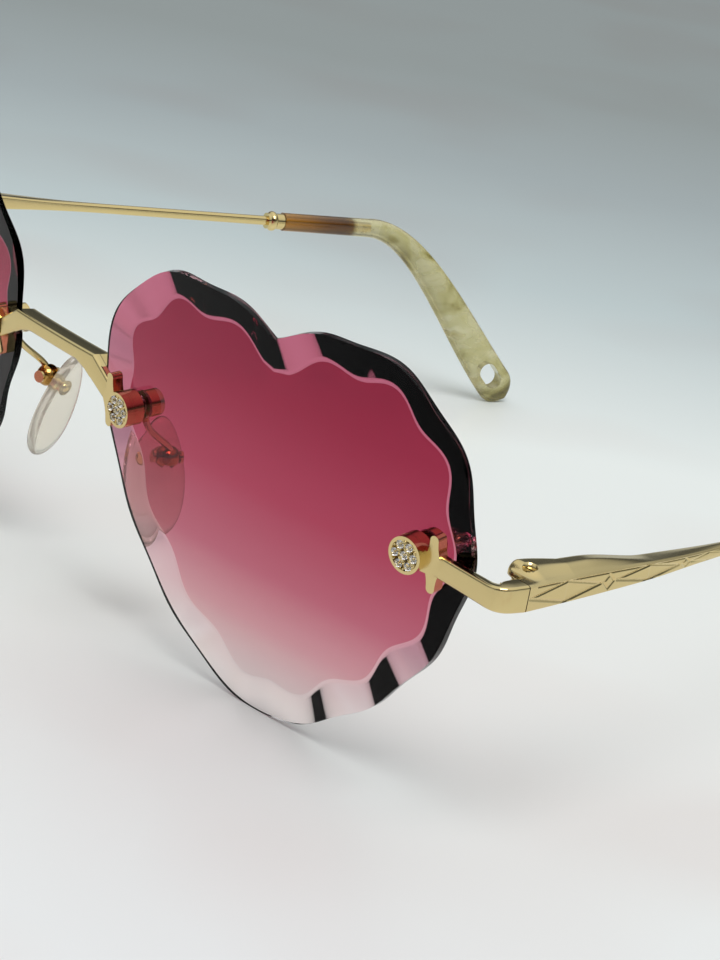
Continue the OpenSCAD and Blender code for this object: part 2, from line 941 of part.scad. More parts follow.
// The round end: rings on a half circle past the end of the line
tip_caps = [30, 55, 75];
tip_path = concat(tip_line, [for (a = tip_caps) tip_end + tip_dir * sin(a) * tip_w / 2]);
function tip_width(i) =
    let (t = eased(min(1, i / (len(tip_line) - 1))))
    mix(tip_d, tip_w, t) * (i < len(tip_line) ? 1 : cos(tip_caps[i - len(tip_line)]));
function tip_thick(i) =
    let (t = eased(min(1, i / (len(tip_line) - 1))))
    mix(tip_d, tip_t, t) * (i < len(tip_line) ? 1 : mix(1, tip_end_share, sin(tip_caps[i - len(tip_line)])));
tip_rings = [
    for (i = [0 : len(tip_path) - 1])
        ring_at(
            tip_path[i],
            i < len(tip_line) ? heading(tip_line, i) : tip_dir,
            rounded(0, tip_thick(i), tip_width(i), tip_square)
        )
];
module tip_body() {
    difference() {
        tube_skin(tip_rings);
        at_rod(tip_start_s)
            rod_y(core_d / 2 + shank_gap, -over, core_l + shank_gap);
        eyelet();
    }
}
module eyelet() {
    half = (eyelet_l - eyelet_w) / 2;
    translate(tip_end - tip_dir * (eyelet_inset - tip_w / 2))
        rotate([0, 0, -atan2(tip_dir.x, tip_dir.y)])
            rotate([asin(tip_dir.z), 0, 0]) {
                for (s = [-1, 1])
                    translate([0, s * half, 0])
                        rotate([0, 90, 0])
                            cylinder(d = eyelet_w, h = 2 * tip_w, center = true);
                translate([-tip_w, -half, -eyelet_w / 2])
                    cube([2 * tip_w, 2 * half, eyelet_w]);
            }
}
// The glasses reach from the inner screw heads to the ends of the tips
foremost = min([
    for (a = [0 : 360 / $fn : 359])
        from_screw(inner_screw, [head_d / 2 * cos(a), -plate_t - head_t, head_d / 2 * sin(a)]).y
]);
rearmost = max([for (ring = tip_rings) for (p = ring) p.y]);
module left_tip() {
    color(horn)
        standing()
            tip_body();
}
module right_tip() {
    color(horn)
        standing()
            right()
                tip_body();
}

left_lens();
right_lens();
bridge();
left_end_piece();
right_end_piece();
jewelled_screws();
crystals();
lens_sleeves();
lens_washers();
lens_nuts();
left_pad_arm();
right_pad_arm();
left_pad_box();
right_pad_box();
pad_pins();
left_pad_lug();
right_pad_lug();
left_nose_pad();
right_nose_pad();
left_temple();
right_temple();
hinge_screws();
left_collar();
right_collar();
left_tip();
right_tip();
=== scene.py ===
import math

import bmesh
import bpy
from mathutils import Matrix, Vector


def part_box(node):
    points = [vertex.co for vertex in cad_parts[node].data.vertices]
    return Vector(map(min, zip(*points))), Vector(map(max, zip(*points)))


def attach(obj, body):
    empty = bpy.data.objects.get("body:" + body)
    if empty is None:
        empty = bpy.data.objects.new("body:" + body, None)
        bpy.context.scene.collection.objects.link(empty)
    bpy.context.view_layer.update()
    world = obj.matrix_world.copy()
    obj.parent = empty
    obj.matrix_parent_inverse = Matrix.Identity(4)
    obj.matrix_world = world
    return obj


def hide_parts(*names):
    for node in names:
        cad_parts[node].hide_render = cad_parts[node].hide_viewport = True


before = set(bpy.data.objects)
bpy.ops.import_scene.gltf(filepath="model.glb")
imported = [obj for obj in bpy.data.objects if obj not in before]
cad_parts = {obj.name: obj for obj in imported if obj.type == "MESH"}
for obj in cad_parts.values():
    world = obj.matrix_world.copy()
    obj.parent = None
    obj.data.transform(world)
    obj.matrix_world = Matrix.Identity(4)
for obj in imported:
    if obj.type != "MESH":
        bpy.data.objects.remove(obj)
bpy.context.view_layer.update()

# Lenses
# Two heart shaped plates of dip dyed polycarbonate, 2.4 mm thick. The dye sits in
# both faces, dark at the top and gone at the tip. The back edge is ground to a
# scalloped bevel and polished, so the bevel has lost the back's layer of dye.

LENS_W, LENS_H, LENS_T, EDGE_T = 58.5, 49, 2.4, 0.82
BASE_RADIUS = 250
LENS_GAP, WRAP, LEAN = 18.8, 7.5, 9
BEVEL_W, BEVEL_WAVE, EDGE_WAVE, SCALLOPS = 3.5, 0.65, 0.2, 14
# The wheel cuts each scallop deeper in its middle than where two meet
EDGE_T_WAVE = 0.12
# Half the width of the bevel's rounded inner edge, and where its rings lie in it
ROUND_W, ROUND_STEPS = 0.3, (-1, -0.5, 0, 0.5)
# Each curve's start and its two handles, as shares of the lens's width and height
HEART = [
    [(0.485, 0.936), (0.444, 0.961), (0.341, 0.989)],
    [(0.258, 0.985), (0.124, 0.978), (0.004, 0.855)],
    [(0.000, 0.705), (-0.006, 0.413), (0.256, 0.004)],
    [(0.499, 0.000), (0.651, -0.002), (1.003, 0.293)],
    [(1.000, 0.634), (0.998, 0.866), (0.855, 1.002)],
    [(0.699, 1.000), (0.606, 0.999), (0.529, 0.957)],
]
HEART_STEPS = [30, 60, 130, 120, 80, 40]
INNER_SCREW = (6, 29.8)
OUTER_SCREW = (LENS_W - 6.7, 29.8)
SHANK_HOLE_R = 1.05
FACE_RINGS = 12
SIDES = ((1, "left"), (-1, "right"))
# Edges that turn by more than this many degrees are drawn sharp
CREASE, LENS_CREASE, BAR_CREASE, SOFT_CREASE = 40, 12, 24, 60


def turned(p, axis, degrees):
    return Matrix.Rotation(math.radians(degrees), 3, axis) @ Vector(p)


def cubic(a, b, c, d, t):
    a, b, c, d = Vector(a), Vector(b), Vector(c), Vector(d)
    s = 1 - t
    return a * s**3 + b * 3 * t * s * s + c * 3 * t * t * s + d * t**3


def heart_line():
    line = []
    for k, (start, leave, arrive) in enumerate(HEART):
        end = HEART[(k + 1) % len(HEART)][0]
        for i in range(HEART_STEPS[k]):
            q = cubic(start, leave, arrive, end, i / HEART_STEPS[k])
            line.append(Vector((q.x * LENS_W, q.y * LENS_H)))
    return line


heart = heart_line()
count = len(heart)
runs = [0.0]
for i in range(count):
    runs.append(runs[-1] + (heart[(i + 1) % count] - heart[i]).length)


def hollow(i):
    """1 in the middle of a scallop's cut and -1 where two cuts meet, at point i"""
    return math.cos(2 * math.pi * SCALLOPS * runs[i] / runs[-1])


def scalloped(inset, wave):
    ring = []
    for i, q in enumerate(heart):
        t = (heart[(i + 1) % count] - heart[i - 1]).normalized()
        out = Vector((t.y, -t.x))
        ring.append(q - out * (inset + wave * hollow(i)))
    return ring


def sag(u, v):
    return ((u - LENS_W / 2) ** 2 + (v - LENS_H / 2) ** 2) / (2 * BASE_RADIUS)


def lens_turned(p):
    return turned(turned(p, "X", LEAN), "Z", WRAP)


def at_depth(ring, depth, share=1.0):
    """The ring at a depth behind the lens front, drawn in to a share of its size"""
    mid = Vector((LENS_W / 2, LENS_H / 2))
    out = []
    for q in ring:
        s = mid + (q - mid) * share
        out.append(lens_turned((s.x, sag(s.x, s.y) + depth, s.y)))
    return out


edge = scalloped(0, EDGE_WAVE)
flat = scalloped(BEVEL_W + ROUND_W, BEVEL_WAVE)
SHARES = [k / FACE_RINGS for k in range(1, FACE_RINGS + 1)]
front_rings = [at_depth(edge, 0, s) for s in SHARES]
back_rings = [at_depth(flat, LENS_T, s) for s in reversed(SHARES)]
wall_ring = []
for i, q in enumerate(edge):
    wall_ring.append(lens_turned((q.x, sag(q.x, q.y) + EDGE_T - EDGE_T_WAVE * hollow(i), q.y)))
slope = (LENS_T - EDGE_T) / BEVEL_W
round_rings = []
for step in ROUND_STEPS:
    drop = slope * ROUND_W * (1 - step) ** 2 / 4
    round_rings.append(at_depth(scalloped(BEVEL_W + ROUND_W * step, BEVEL_WAVE), LENS_T - drop))
lift = -min(p.z for p in wall_ring + front_rings[-1])
# The whole front is set back so that the glasses' middle lies over the origin
box_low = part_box("left_lens")[0]
shift = box_low.y * 1000 - min(p.y for p in front_rings[-1] + wall_ring + back_rings[0])
lens_origin = Vector((LENS_GAP / 2, shift, lift))


def mirrored(points):
    return [Vector((-p.x, p.y, p.z)) for p in points]


def mesh_piece(name, points, faces, side=1, smooth=True, sharp=None):
    """A mesh from points in millimetres, mirrored for the right hand side"""
    if side < 0:
        points = mirrored(points)
    mesh = bpy.data.meshes.new(name)
    mesh.from_pydata([tuple(c / 1000 for c in p) for p in points], [], faces)
    # Every face looks out of the piece, so that light bends the right way
    work = bmesh.new()
    work.from_mesh(mesh)
    bmesh.ops.recalc_face_normals(work, faces=work.faces)
    work.to_mesh(mesh)
    work.free()
    mesh.update()
    piece = bpy.data.objects.new(name, mesh)
    bpy.context.scene.collection.objects.link(piece)
    for polygon in mesh.polygons:
        polygon.use_smooth = smooth
    if sharp is not None:
        mesh.set_sharp_from_angle(angle=math.radians(sharp))
    return piece


def skin_faces(rows, n):
    """Faces over rows of n points, with a fan to one more point at each end"""
    faces = []
    for k in range(rows - 1):
        for i in range(n):
            a, b = k * n + i, k * n + (i + 1) % n
            faces.append((a, b, b + n, a + n))
    first, last, top = rows * n, rows * n + 1, (rows - 1) * n
    faces += [(first, (i + 1) % n, i) for i in range(n)]
    faces += [(last, top + i, top + (i + 1) % n) for i in range(n)]
    return faces


def cut(piece, cutter, operation="DIFFERENCE"):
    """Cuts or joins with another closed mesh, which is then gone"""
    tool = piece.modifiers.new("cut", "BOOLEAN")
    tool.operation = operation
    tool.solver = "EXACT"
    tool.object = cutter
    bpy.context.view_layer.update()
    shaped = piece.evaluated_get(bpy.context.evaluated_depsgraph_get())
    done = bpy.data.meshes.new_from_object(shaped)
    piece.modifiers.clear()
    piece.data = done
    bpy.data.objects.remove(cutter)


def screw_frame(q):
    """Where a screw stands square to the curved lens, as a matrix in millimetres"""
    tilt_u = math.atan((q[0] - LENS_W / 2) / BASE_RADIUS)
    tilt_v = -math.atan((q[1] - LENS_H / 2) / BASE_RADIUS)
    wrap = Matrix.Rotation(math.radians(WRAP), 4, "Z")
    lean = Matrix.Rotation(math.radians(LEAN), 4, "X")
    here = Matrix.Translation((q[0], sag(*q), q[1]))
    tilt = Matrix.Rotation(tilt_u, 4, "Z") @ Matrix.Rotation(tilt_v, 4, "X")
    return Matrix.Translation(lens_origin) @ (wrap @ lean) @ here @ tilt


def circle(n, offset=0.0):
    """n points round a circle with a radius of 1"""
    angles = [2 * math.pi * (k + offset) / n for k in range(n)]
    return [(math.cos(a), math.sin(a)) for a in angles]


def rod(name, radius, start, end, place, sides=48, side=1):
    """A closed cylinder along y"""
    points = []
    for y in (start, end):
        points += [place @ Vector((radius * c, y, radius * s)) for c, s in circle(sides)]
    points += [place @ Vector((0, y, 0)) for y in (start, end)]
    return mesh_piece(name, points, skin_faces(2, sides), side, sharp=CREASE)


def linear(code):
    """The linear colour of an sRGB hex value"""
    parts = [int(code[k : k + 2], 16) / 255 for k in (0, 2, 4)]
    parts = [c / 12.92 if c <= 0.04045 else ((c + 0.055) / 1.055) ** 2.4 for c in parts]
    return tuple(parts + [1.0])


def material(name):
    made = bpy.data.materials.new(name)
    made.use_nodes = True
    tree = made.node_tree
    tree.nodes.clear()
    return made, tree


def add(tree, kind, settings=None, links=None, numbered=None, **values):
    """Adds a node: settings are its own, links its inputs from other nodes, numbered
    and values its sockets by their number or name"""
    node = tree.nodes.new("ShaderNode" + kind)
    for key, value in (settings or {}).items():
        setattr(node, key, value)
    for key, value in (numbered or {}).items():
        node.inputs[key].default_value = value
    for key, value in values.items():
        node.inputs[key.replace("_", " ")].default_value = value
    for key, (source, socket) in (links or {}).items():
        tree.links.new(source.outputs[socket], node.inputs[key])
    return node


def set_ramp(node, stops):
    ramp = node.color_ramp
    while len(ramp.elements) < len(stops):
        ramp.elements.new(0.5)
    for element, (place, code) in zip(ramp.elements, stops):
        element.position = place
        element.color = linear(code)


# Clear polycarbonate bends light strongly, so light that meets the bevels too steeply
# is trapped in the plate and they turn dark. The dye is a height gradient from plum
# to nothing, which the ground faces lack. A coat against glare takes away what the
# faces would mirror straight on.
POLYCARBONATE_IOR = 1.585
DYE_STOPS = [
    (0.06, "fbf2f0"), (0.22, "e3acb5"), (0.36, "cb7388"),
    (0.55, "b94a64"), (0.78, "a63550"), (1.0, "9c2b47"),
]
GROUND_FACE, NO_GLARE = "fffbfb", "000000"
BODY_TINT, BODY_DENSITY = "d8a0b0", 60.0


def dyed_polycarbonate():
    made, tree = material("dip dyed and polished polycarbonate")
    place = add(tree, "TexCoord")
    apart = add(tree, "SeparateXYZ", links={"Vector": (place, "Object")})
    height = add(tree, "MapRange", links={"Value": (apart, "Z")}, From_Max=LENS_H / 1000)
    dye = add(tree, "ValToRGB", links={"Fac": (height, "Result")})
    set_ramp(dye, DYE_STOPS)
    ground = add(tree, "Attribute", {"attribute_name": "ground"})
    tint = add(
        tree, "Mix", {"data_type": "RGBA"}, {"Factor": (ground, "Fac"), 6: (dye, "Color")},
        {7: linear(GROUND_FACE)},
    )
    shader = add(
        tree, "BsdfPrincipled", links={"Base Color": (tint, 2)}, Roughness=0.0,
        IOR=POLYCARBONATE_IOR, Transmission_Weight=1.0, Specular_Tint=linear(NO_GLARE),
    )
    body = add(tree, "VolumeAbsorption", Color=linear(BODY_TINT), Density=BODY_DENSITY)
    add(tree, "OutputMaterial", links={"Surface": (shader, "BSDF"), "Volume": (body, "Volume")})
    return made


lens_finish = dyed_polycarbonate()

lens_rows = front_rings + [wall_ring] + round_rings + back_rings
lens_points = [p + lens_origin for row in lens_rows for p in row]
for depth in (0, LENS_T):
    lens_points.append(lens_turned((LENS_W / 2, depth, LENS_H / 2)) + lens_origin)
lens_faces = skin_faces(len(lens_rows), count)
first_ground = (len(front_rings) - 1) * count
last_ground = (len(front_rings) + 1 + len(round_rings)) * count

for side, word in SIDES:
    lens = mesh_piece(word + "_heart_lens", lens_points, lens_faces, side, sharp=LENS_CREASE)
    # The second slot marks the ground faces while the holes are cut
    lens.data.materials.append(lens_finish)
    lens.data.materials.append(None)
    for index, polygon in enumerate(lens.data.polygons):
        polygon.material_index = 1 if first_ground <= index < last_ground else 0
    for q in (INNER_SCREW, OUTER_SCREW):
        hole = rod("hole", SHANK_HOLE_R, -1, LENS_T + 1, screw_frame(q), side=side)
        hole.data.materials.append(lens_finish)
        hole.data.materials.append(None)
        for polygon in hole.data.polygons:
            polygon.material_index = 1
        cut(lens, hole)
    ground = lens.data.attributes.new("ground", "FLOAT", "FACE")
    for polygon in lens.data.polygons:
        ground.data[polygon.index].value = float(polygon.material_index)
        polygon.material_index = 0
    lens.data.materials.pop(index=1)
    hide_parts(word + "_lens")
    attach(lens, "front")

# Bridge
# A bar of nickel silver with a star shaped plate at each end, cast, filed and
# plated pale gold. It sits on the lens fronts and bows a little forward.

PLATE_T, STAR_REACH, ARM_TIP_W, ARM_ROOT_W, STAR_OFFSET = 1.4, 3.3, 1.1, 2.7, 3
HEAD_D, END_H, END_T, STAR_DROP = 4.2, 2.5, 2.4, 0.3
SCREW_HOLE_R = 0.75
BAR_STEP, CORNER_R, CORNER_STEPS = 0.15, 0.38, 5
BRIDGE_H, BRIDGE_DEPTH, BRIDGE_RISE, BRIDGE_END_H = 1.7, 2.9, 3, 2.9
BRIDGE_BOW, BRIDGE_FLAT, BRIDGE_LEVEL, BRIDGE_STRAIGHT = 0.5, 2, 5.2, 7.2
BRIDGE_END, BRIDGE_TUCK, SPAN_STEPS = 8.395, 0.12, 8
ARM_STEPS, ARM_TIP_STEPS = 12, 7
# Joined shapes end this far inside each other, so that no two faces share a plane
LAP = 0.01
# How wide filing leaves the rounded edges
FILED_EDGE = 0.14
PLATE_GOLD = "d9c48c"


def mix(a, b, t):
    return a + (b - a) * t


def eased(t):
    t = min(1, max(0, t))
    return t * t * (3 - 2 * t)


# Gold plate keeps the finish under it. The broad front faces are satin, which spreads
# the light evenly, and the filed edges and tops are buffed until they mirror the room.
# Buffing leaves fine marks about 0.4 mm apart.
MARK_SPACING, MARK_ROUGHNESS, MARK_BUMP, MARK_DEPTH = 0.4, 0.05, 0.12, 0.00001
# A face turns satin as its normal's y goes from one of these to the other
FRONT_FROM, FRONT_FULL = -0.6, -0.9


def gold_plate(name, satin, buffed, code=PLATE_GOLD):
    made, tree = material(name)
    place = add(tree, "TexCoord")
    facing = add(tree, "SeparateXYZ", links={"Vector": (place, "Normal")})
    front = add(
        tree, "MapRange", links={"Value": (facing, "Y")}, From_Min=FRONT_FROM, From_Max=FRONT_FULL,
    )
    marks = add(
        tree, "TexNoise", links={"Vector": (place, "Object")},
        Scale=1000 / MARK_SPACING, Detail=2.0, Roughness=0.5,
    )
    rough = add(tree, "MapRange", links={"Value": (front, "Result")}, To_Min=buffed, To_Max=satin)
    worn = add(
        tree, "Math", {"operation": "MULTIPLY_ADD"}, {0: (marks, "Fac"), 2: (rough, "Result")},
        {1: MARK_ROUGHNESS},
    )
    bump = add(
        tree, "Bump", links={"Height": (marks, "Fac")}, Strength=MARK_BUMP, Distance=MARK_DEPTH,
    )
    shader = add(
        tree, "BsdfPrincipled", links={"Roughness": (worn, "Value"), "Normal": (bump, "Normal")},
        Metallic=1.0, Base_Color=linear(code),
    )
    add(tree, "OutputMaterial", links={"Surface": (shader, "BSDF")})
    return made


filed_gold = gold_plate("filed and buffed gold plate", 0.2, 0.04)


def soft_bar(lo, hi, high):
    """Section of a bar from lo to hi with its four corners rounded"""
    ring = []
    for x, z, start in (
        (hi - CORNER_R, CORNER_R - high / 2, -90), (hi - CORNER_R, high / 2 - CORNER_R, 0),
        (lo + CORNER_R, high / 2 - CORNER_R, 90), (lo + CORNER_R, CORNER_R - high / 2, 180),
    ):
        for k in range(CORNER_STEPS + 1):
            a = math.radians(start + 90 * k / CORNER_STEPS)
            ring.append((x + CORNER_R * math.cos(a), z + CORNER_R * math.sin(a)))
    return ring


def ring_on(p, heading, section):
    """A section of (out, up) points, set square on a heading"""
    out = heading.cross(Vector((0, 0, 1))).normalized()
    up = out.cross(heading)
    return [p + out * q[0] + up * q[1] for q in section]


def headings(path):
    last = len(path) - 1
    return [(path[min(i + 1, last)] - path[max(i - 1, 0)]).normalized() for i in range(last + 1)]


def swept(name, rows, side=1, sharp=None):
    """A closed skin over rings of points"""
    n = len(rows[0])
    points = [p for row in rows for p in row]
    points += [sum(row, Vector()) / n for row in (rows[0], rows[-1])]
    return mesh_piece(name, points, skin_faces(len(rows), n), side, sharp=sharp)


def prism(name, outline, start, end, place, side=1, middle=(0, 0)):
    """A plate along y with the given outline in x and z"""
    points = [place @ Vector((q[0], y, q[1])) for y in (start, end) for q in outline]
    points += [place @ Vector((middle[0], y, middle[1])) for y in (start, end)]
    return mesh_piece(name, points, skin_faces(2, len(outline)), side, sharp=CREASE)


def star_outline():
    """Two arms, up and down, that narrow in a hollow curve to round tips"""
    reach = STAR_REACH - ARM_TIP_W / 2
    half = []
    for k in range(ARM_STEPS + 1):
        t = k / ARM_STEPS
        half.append((ARM_TIP_W / 2 + (ARM_ROOT_W - ARM_TIP_W) / 2 * (1 - t) ** 2, t * reach))
    for k in range(1, ARM_TIP_STEPS + 1):
        a = math.pi / 2 * k / ARM_TIP_STEPS
        half.append((ARM_TIP_W / 2 * math.cos(a), reach + ARM_TIP_W / 2 * math.sin(a)))
    upper = half + [(-x, z) for x, z in reversed(half[:-1])]
    return upper + [(-x, -z) for x, z in upper[1:-1]]


def star_plate(name, q, side_out, drop, side):
    """The star, the seat of the screw head and the web between them, with the screw's hole"""
    place = screw_frame(q)
    shifted = place @ Matrix.Translation((side_out * STAR_OFFSET, 0, -drop))
    plate = prism(name, star_outline(), -PLATE_T, 0, shifted, side)
    seat = rod("seat", HEAD_D / 2, -PLATE_T + 2 * LAP, -2 * LAP, place, 64, side)
    cut(plate, seat, "UNION")
    low, high = -END_H / 2, END_H / 2
    outline = [(0, low), (STAR_OFFSET, low), (STAR_OFFSET, high), (0, high)]
    outline = [(side_out * x, z - drop) for x, z in outline]
    between = (side_out * STAR_OFFSET / 2, -drop)
    cut(plate, prism("web", outline, -PLATE_T + LAP, -LAP, place, side, between), "UNION")
    cut(plate, rod("hole", SCREW_HOLE_R, -PLATE_T - 1, 1, place, 32, side))
    return plate


def soften(piece, width, angle=35):
    """Rounds the edges, as tumbling does"""
    soft = piece.modifiers.new("soft edges", "BEVEL")
    soft.width = width / 1000
    soft.segments = 3
    soft.limit_method = "ANGLE"
    soft.angle_limit = math.radians(angle)
    soft.harden_normals = True


def finished(piece, finish, slot, body, *nodes):
    """The piece gets its finish and body, and stands for the nodes; slot is not used"""
    piece.data.materials.clear()
    piece.data.materials.append(finish)
    if nodes:
        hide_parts(*nodes)
    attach(piece, body)


set_back = Vector((0, shift, 0))
star_front = screw_frame(INNER_SCREW) @ Vector((-STAR_OFFSET, 0, 0)) - set_back
bridge_top = star_front.z + BRIDGE_RISE + BRIDGE_H / 2
bridge_back = BRIDGE_DEPTH - PLATE_T
# Where the half bridge changes: its x, top, height, and how far it reaches back
STATIONS = [
    (star_front.x, star_front.z + END_H / 2, END_H, 0),
    (BRIDGE_END + BRIDGE_TUCK, bridge_top, BRIDGE_END_H, 0),
    (BRIDGE_END, bridge_top, BRIDGE_END_H, bridge_back),
    (BRIDGE_STRAIGHT, bridge_top, (BRIDGE_H + BRIDGE_END_H) / 2, bridge_back),
    (BRIDGE_LEVEL, bridge_top, BRIDGE_H, bridge_back),
    (0, bridge_top, BRIDGE_H, bridge_back),
]
bridge_rows = []
for first, second in zip(STATIONS, STATIONS[1:]):
    for k in range(SPAN_STEPS):
        x, top, high, back = [mix(a, b, k / SPAN_STEPS) for a, b in zip(first, second)]
        bow = max(x - BRIDGE_FLAT, 0) / (star_front.x - BRIDGE_FLAT)
        at = Vector((x, star_front.y - BRIDGE_BOW * (1 - bow ** 2), top - high / 2)) + set_back
        section = soft_bar(BAR_STEP - PLATE_T, back, high)
        bridge_rows.append(ring_on(at, Vector((-1, 0, 0)), section))
other_rows = [mirrored(row) for row in bridge_rows]
middle_row = [Vector((0, p.y, p.z)) for p in bridge_rows[-1]]
bridge_bar = swept("heart_bridge", bridge_rows + [middle_row] + other_rows[::-1], sharp=BAR_CREASE)
for side, word in SIDES:
    cut(bridge_bar, star_plate("star", INNER_SCREW, -1, 0, side), "UNION")
soften(bridge_bar, FILED_EDGE)
finished(bridge_bar, filed_gold, "gold", "front", "bridge")

# End pieces
# From the outer star a bar runs round the corner and ends in a tongue that takes
# the hinge screw. Cast with its star, filed smooth and plated as the bridge is.

END_REACH, END_FORWARD, END_RISE, END_RUN, CORNER_ROUND = 11.1, 0.6, 0.3, 4.2, 2.7
HINGE_INSET, HINGE_SETBACK, KNUCKLE_R, TONGUE_H, NECK_W = 3.2, 2.6, 1.7, 1.5, 2
TEMPLE_H, TURN_GAP, TONGUE_HOLE_R = 3, 0.12, 0.6
OUT_STEPS, TURN_STEPS, BACK_STEPS = 12, 24, 4
outer_star = screw_frame(OUTER_SCREW) @ Vector((STAR_OFFSET, -PLATE_T, -STAR_DROP))
corner = outer_star + Vector((END_REACH, -END_FORWARD, END_RISE))
corner_in = corner - (corner - outer_star).normalized() * CORNER_ROUND
corner_out = corner + Vector((0, CORNER_ROUND, 0))
end_back = corner + Vector((0, END_RUN, 0))
hinge_axis = Vector((corner.x - HINGE_INSET, end_back.y + HINGE_SETBACK, end_back.z))

# The bar's line, and how far its section has changed from the star's to the temple's
end_path, end_shares = [], []
for k in range(OUT_STEPS):
    end_path.append(mix(outer_star, corner_in, k / OUT_STEPS))
    end_shares.append(max(0, 2 * k / OUT_STEPS - 1) / 6)
for k in range(TURN_STEPS + 1):
    t = k / TURN_STEPS
    end_path.append(mix(mix(corner_in, corner, t), mix(corner, corner_out, t), t))
    end_shares.append((1 + 4 * t) / 6)
for k in range(1, BACK_STEPS + 1):
    end_path.append(mix(corner_out, end_back, k / BACK_STEPS))
    end_shares.append((5 + k / BACK_STEPS) / 6)
end_rows = []
for p, heading, share in zip(end_path, headings(end_path), end_shares):
    section = soft_bar(
        -mix(PLATE_T, END_T, eased(share)), -BAR_STEP * (1 - share), mix(END_H, TEMPLE_H, share)
    )
    end_rows.append(ring_on(p, heading, section))


def box(name, low, high, side=1, place=Matrix.Identity(4)):
    """A block between two corners"""
    outline = [(low[0], low[2]), (high[0], low[2]), (high[0], high[2]), (low[0], high[2])]
    middle = ((low[0] + high[0]) / 2, (low[2] + high[2]) / 2)
    return prism(name, outline, low[1], high[1], place, side, middle)


def upright(at):
    """The frame of a pin or screw that stands upright: its y runs up"""
    return Matrix.Translation(at) @ Matrix.Rotation(math.radians(90), 4, "X")


hinge_place = upright(hinge_axis)
for side, word in SIDES:
    end_bar = swept(word + "_corner_piece", end_rows, side, sharp=BAR_CREASE)
    cut(end_bar, star_plate("star", OUTER_SCREW, 1, STAR_DROP, side), "UNION")
    tongue = rod("tongue", KNUCKLE_R, -TONGUE_H / 2, TONGUE_H / 2, hinge_place, 48, side)
    neck_half = TONGUE_H / 2 - LAP
    neck_low = (hinge_axis.x, end_back.y - END_T / 2, hinge_axis.z - neck_half)
    neck_high = (hinge_axis.x + NECK_W, hinge_axis.y, hinge_axis.z + neck_half)
    cut(tongue, box("neck", neck_low, neck_high, side), "UNION")
    cut(end_bar, tongue, "UNION")
    cut(end_bar, rod("hole", TONGUE_HOLE_R, -TONGUE_H, TONGUE_H, hinge_place, 32, side))
    soften(end_bar, FILED_EDGE)
    finished(end_bar, filed_gold, "gold", "front", word + "_end_piece")

# Temples
# A bar stamped from nickel silver: a flat engraved face outside, a swell over the
# hinge, and a long taper to a round wire, which runs on as the core of the tip.

METAL_L, TAPER_L, ROD_D, TEMPLE_T, CLOSING, DROOP = 68, 44, 1.4, 3.6, 10.5, 1
COLLAR_L, CORE_L, CORE_D, THICKEN_L, ALIGN_L = 2.8, 15, 1.1, 4, 3
# Swell over the hinge, and where it starts, is full, begins to fall and ends
SWELL, SWELL_RUN = 0.9, (1.3, 3.2, 11, 23)
# The same under it, which starts with it
UNDER, UNDER_FALLS, UNDER_ENDS = 0.3, 5, 13
# Share of the thickness over which both rise from the outer face
SWELL_RISE = 0.55
# The block that holds the fork: how thick it ends, and how far behind the screw
BLOCK_END_T, BLOCK_RUN = 2.6, 9
# Rounding of the outer edges, and of the inner corners at the hinge and at the wire
EDGE_R, EDGE_SHARE, INNER_R, FACE_STEP = 0.3, 0.6, (0.5, 0.3), 0.02
# Share of the taper after which the bar turns round
ROUND_FROM = 0.45
GROOVE_D, GROOVE_W, FACET_D = 0.13, 0.24, 0.07
# A finer groove runs along the upper border, between these places
BORDER_INSET, BORDER_SHARE, BORDER_RUN = 0.28, 0.7, (1.2, 40)
# Engraved rhombi: where each starts and ends along the face, and half its height
RHOMBI = [
    (0.4, 12.5, 1.12), (13.1, 14.9, 0.78), (15.5, 27.2, 0.86), (28.0, 29.4, 0.5),
    (29.9, 37.0, 0.52), (37.5, 38.3, 0.28), (38.7, 43.0, 0.3),
]
# Only rhombi with more than this half length are faceted, the rear facet deeper
FACETED_FROM, FRONT_FACET = 2, 0.4
FACE_STEPS, TOP_STEPS, INNER_STEPS, UNDER_STEPS, TEMPLE_RINGS = 44, 16, 10, 10, 520
FORK_HOLE_R, SINK_R, SINK_LOW = 0.65, 0.82, 1.4
closing, droop = math.radians(CLOSING), math.radians(DROOP)
temple_dir = Vector((
    -math.sin(closing) * math.cos(droop), math.cos(closing) * math.cos(droop), -math.sin(droop),
))
temple_start = end_back + Vector((0, TURN_GAP, 0))
rod_mid = -(END_T + TEMPLE_T) / 4


def engraving(s, v):
    """How far the outer face lies below its plane, v above its middle"""
    depth = 0.0
    for start, end, half in RHOMBI:
        if start - GROOVE_W < s < end + GROOVE_W:
            mid, reach = (start + end) / 2, (end - start) / 2
            inside = 1 - abs(s - mid) / reach - abs(v) / half
            away = abs(inside) * reach * half / math.hypot(reach, half)
            depth = max(depth, GROOVE_D * (1 - away / GROOVE_W))
            if inside > 0 and reach > FACETED_FROM:
                share = 1 if s > mid else FRONT_FACET
                depth = max(depth, FACET_D * min(1, 3 * inside) * share)
    border = mix(TEMPLE_H, ROD_D, eased(s / TAPER_L)) / 2 - BORDER_INSET
    if BORDER_RUN[0] < s < BORDER_RUN[1]:
        away = abs(v - border) / (BORDER_SHARE * GROOVE_W)
        depth = max(depth, BORDER_SHARE * GROOVE_D * (1 - away))
    return depth


def bar_thickness(s, t):
    """How thick the bar is at s, with the block that holds the hinge's fork"""
    thick = mix(mix(END_T, TEMPLE_T, eased(s / THICKEN_L)), ROD_D, t)
    behind = temple_start.y + s - hinge_axis.y
    if behind > 0:
        return max(thick, mix(HINGE_INSET + KNUCKLE_R, BLOCK_END_T, eased(behind / BLOCK_RUN)))
    if behind > -KNUCKLE_R:
        return max(thick, HINGE_INSET + math.sqrt(KNUCKLE_R ** 2 - behind ** 2))
    return thick


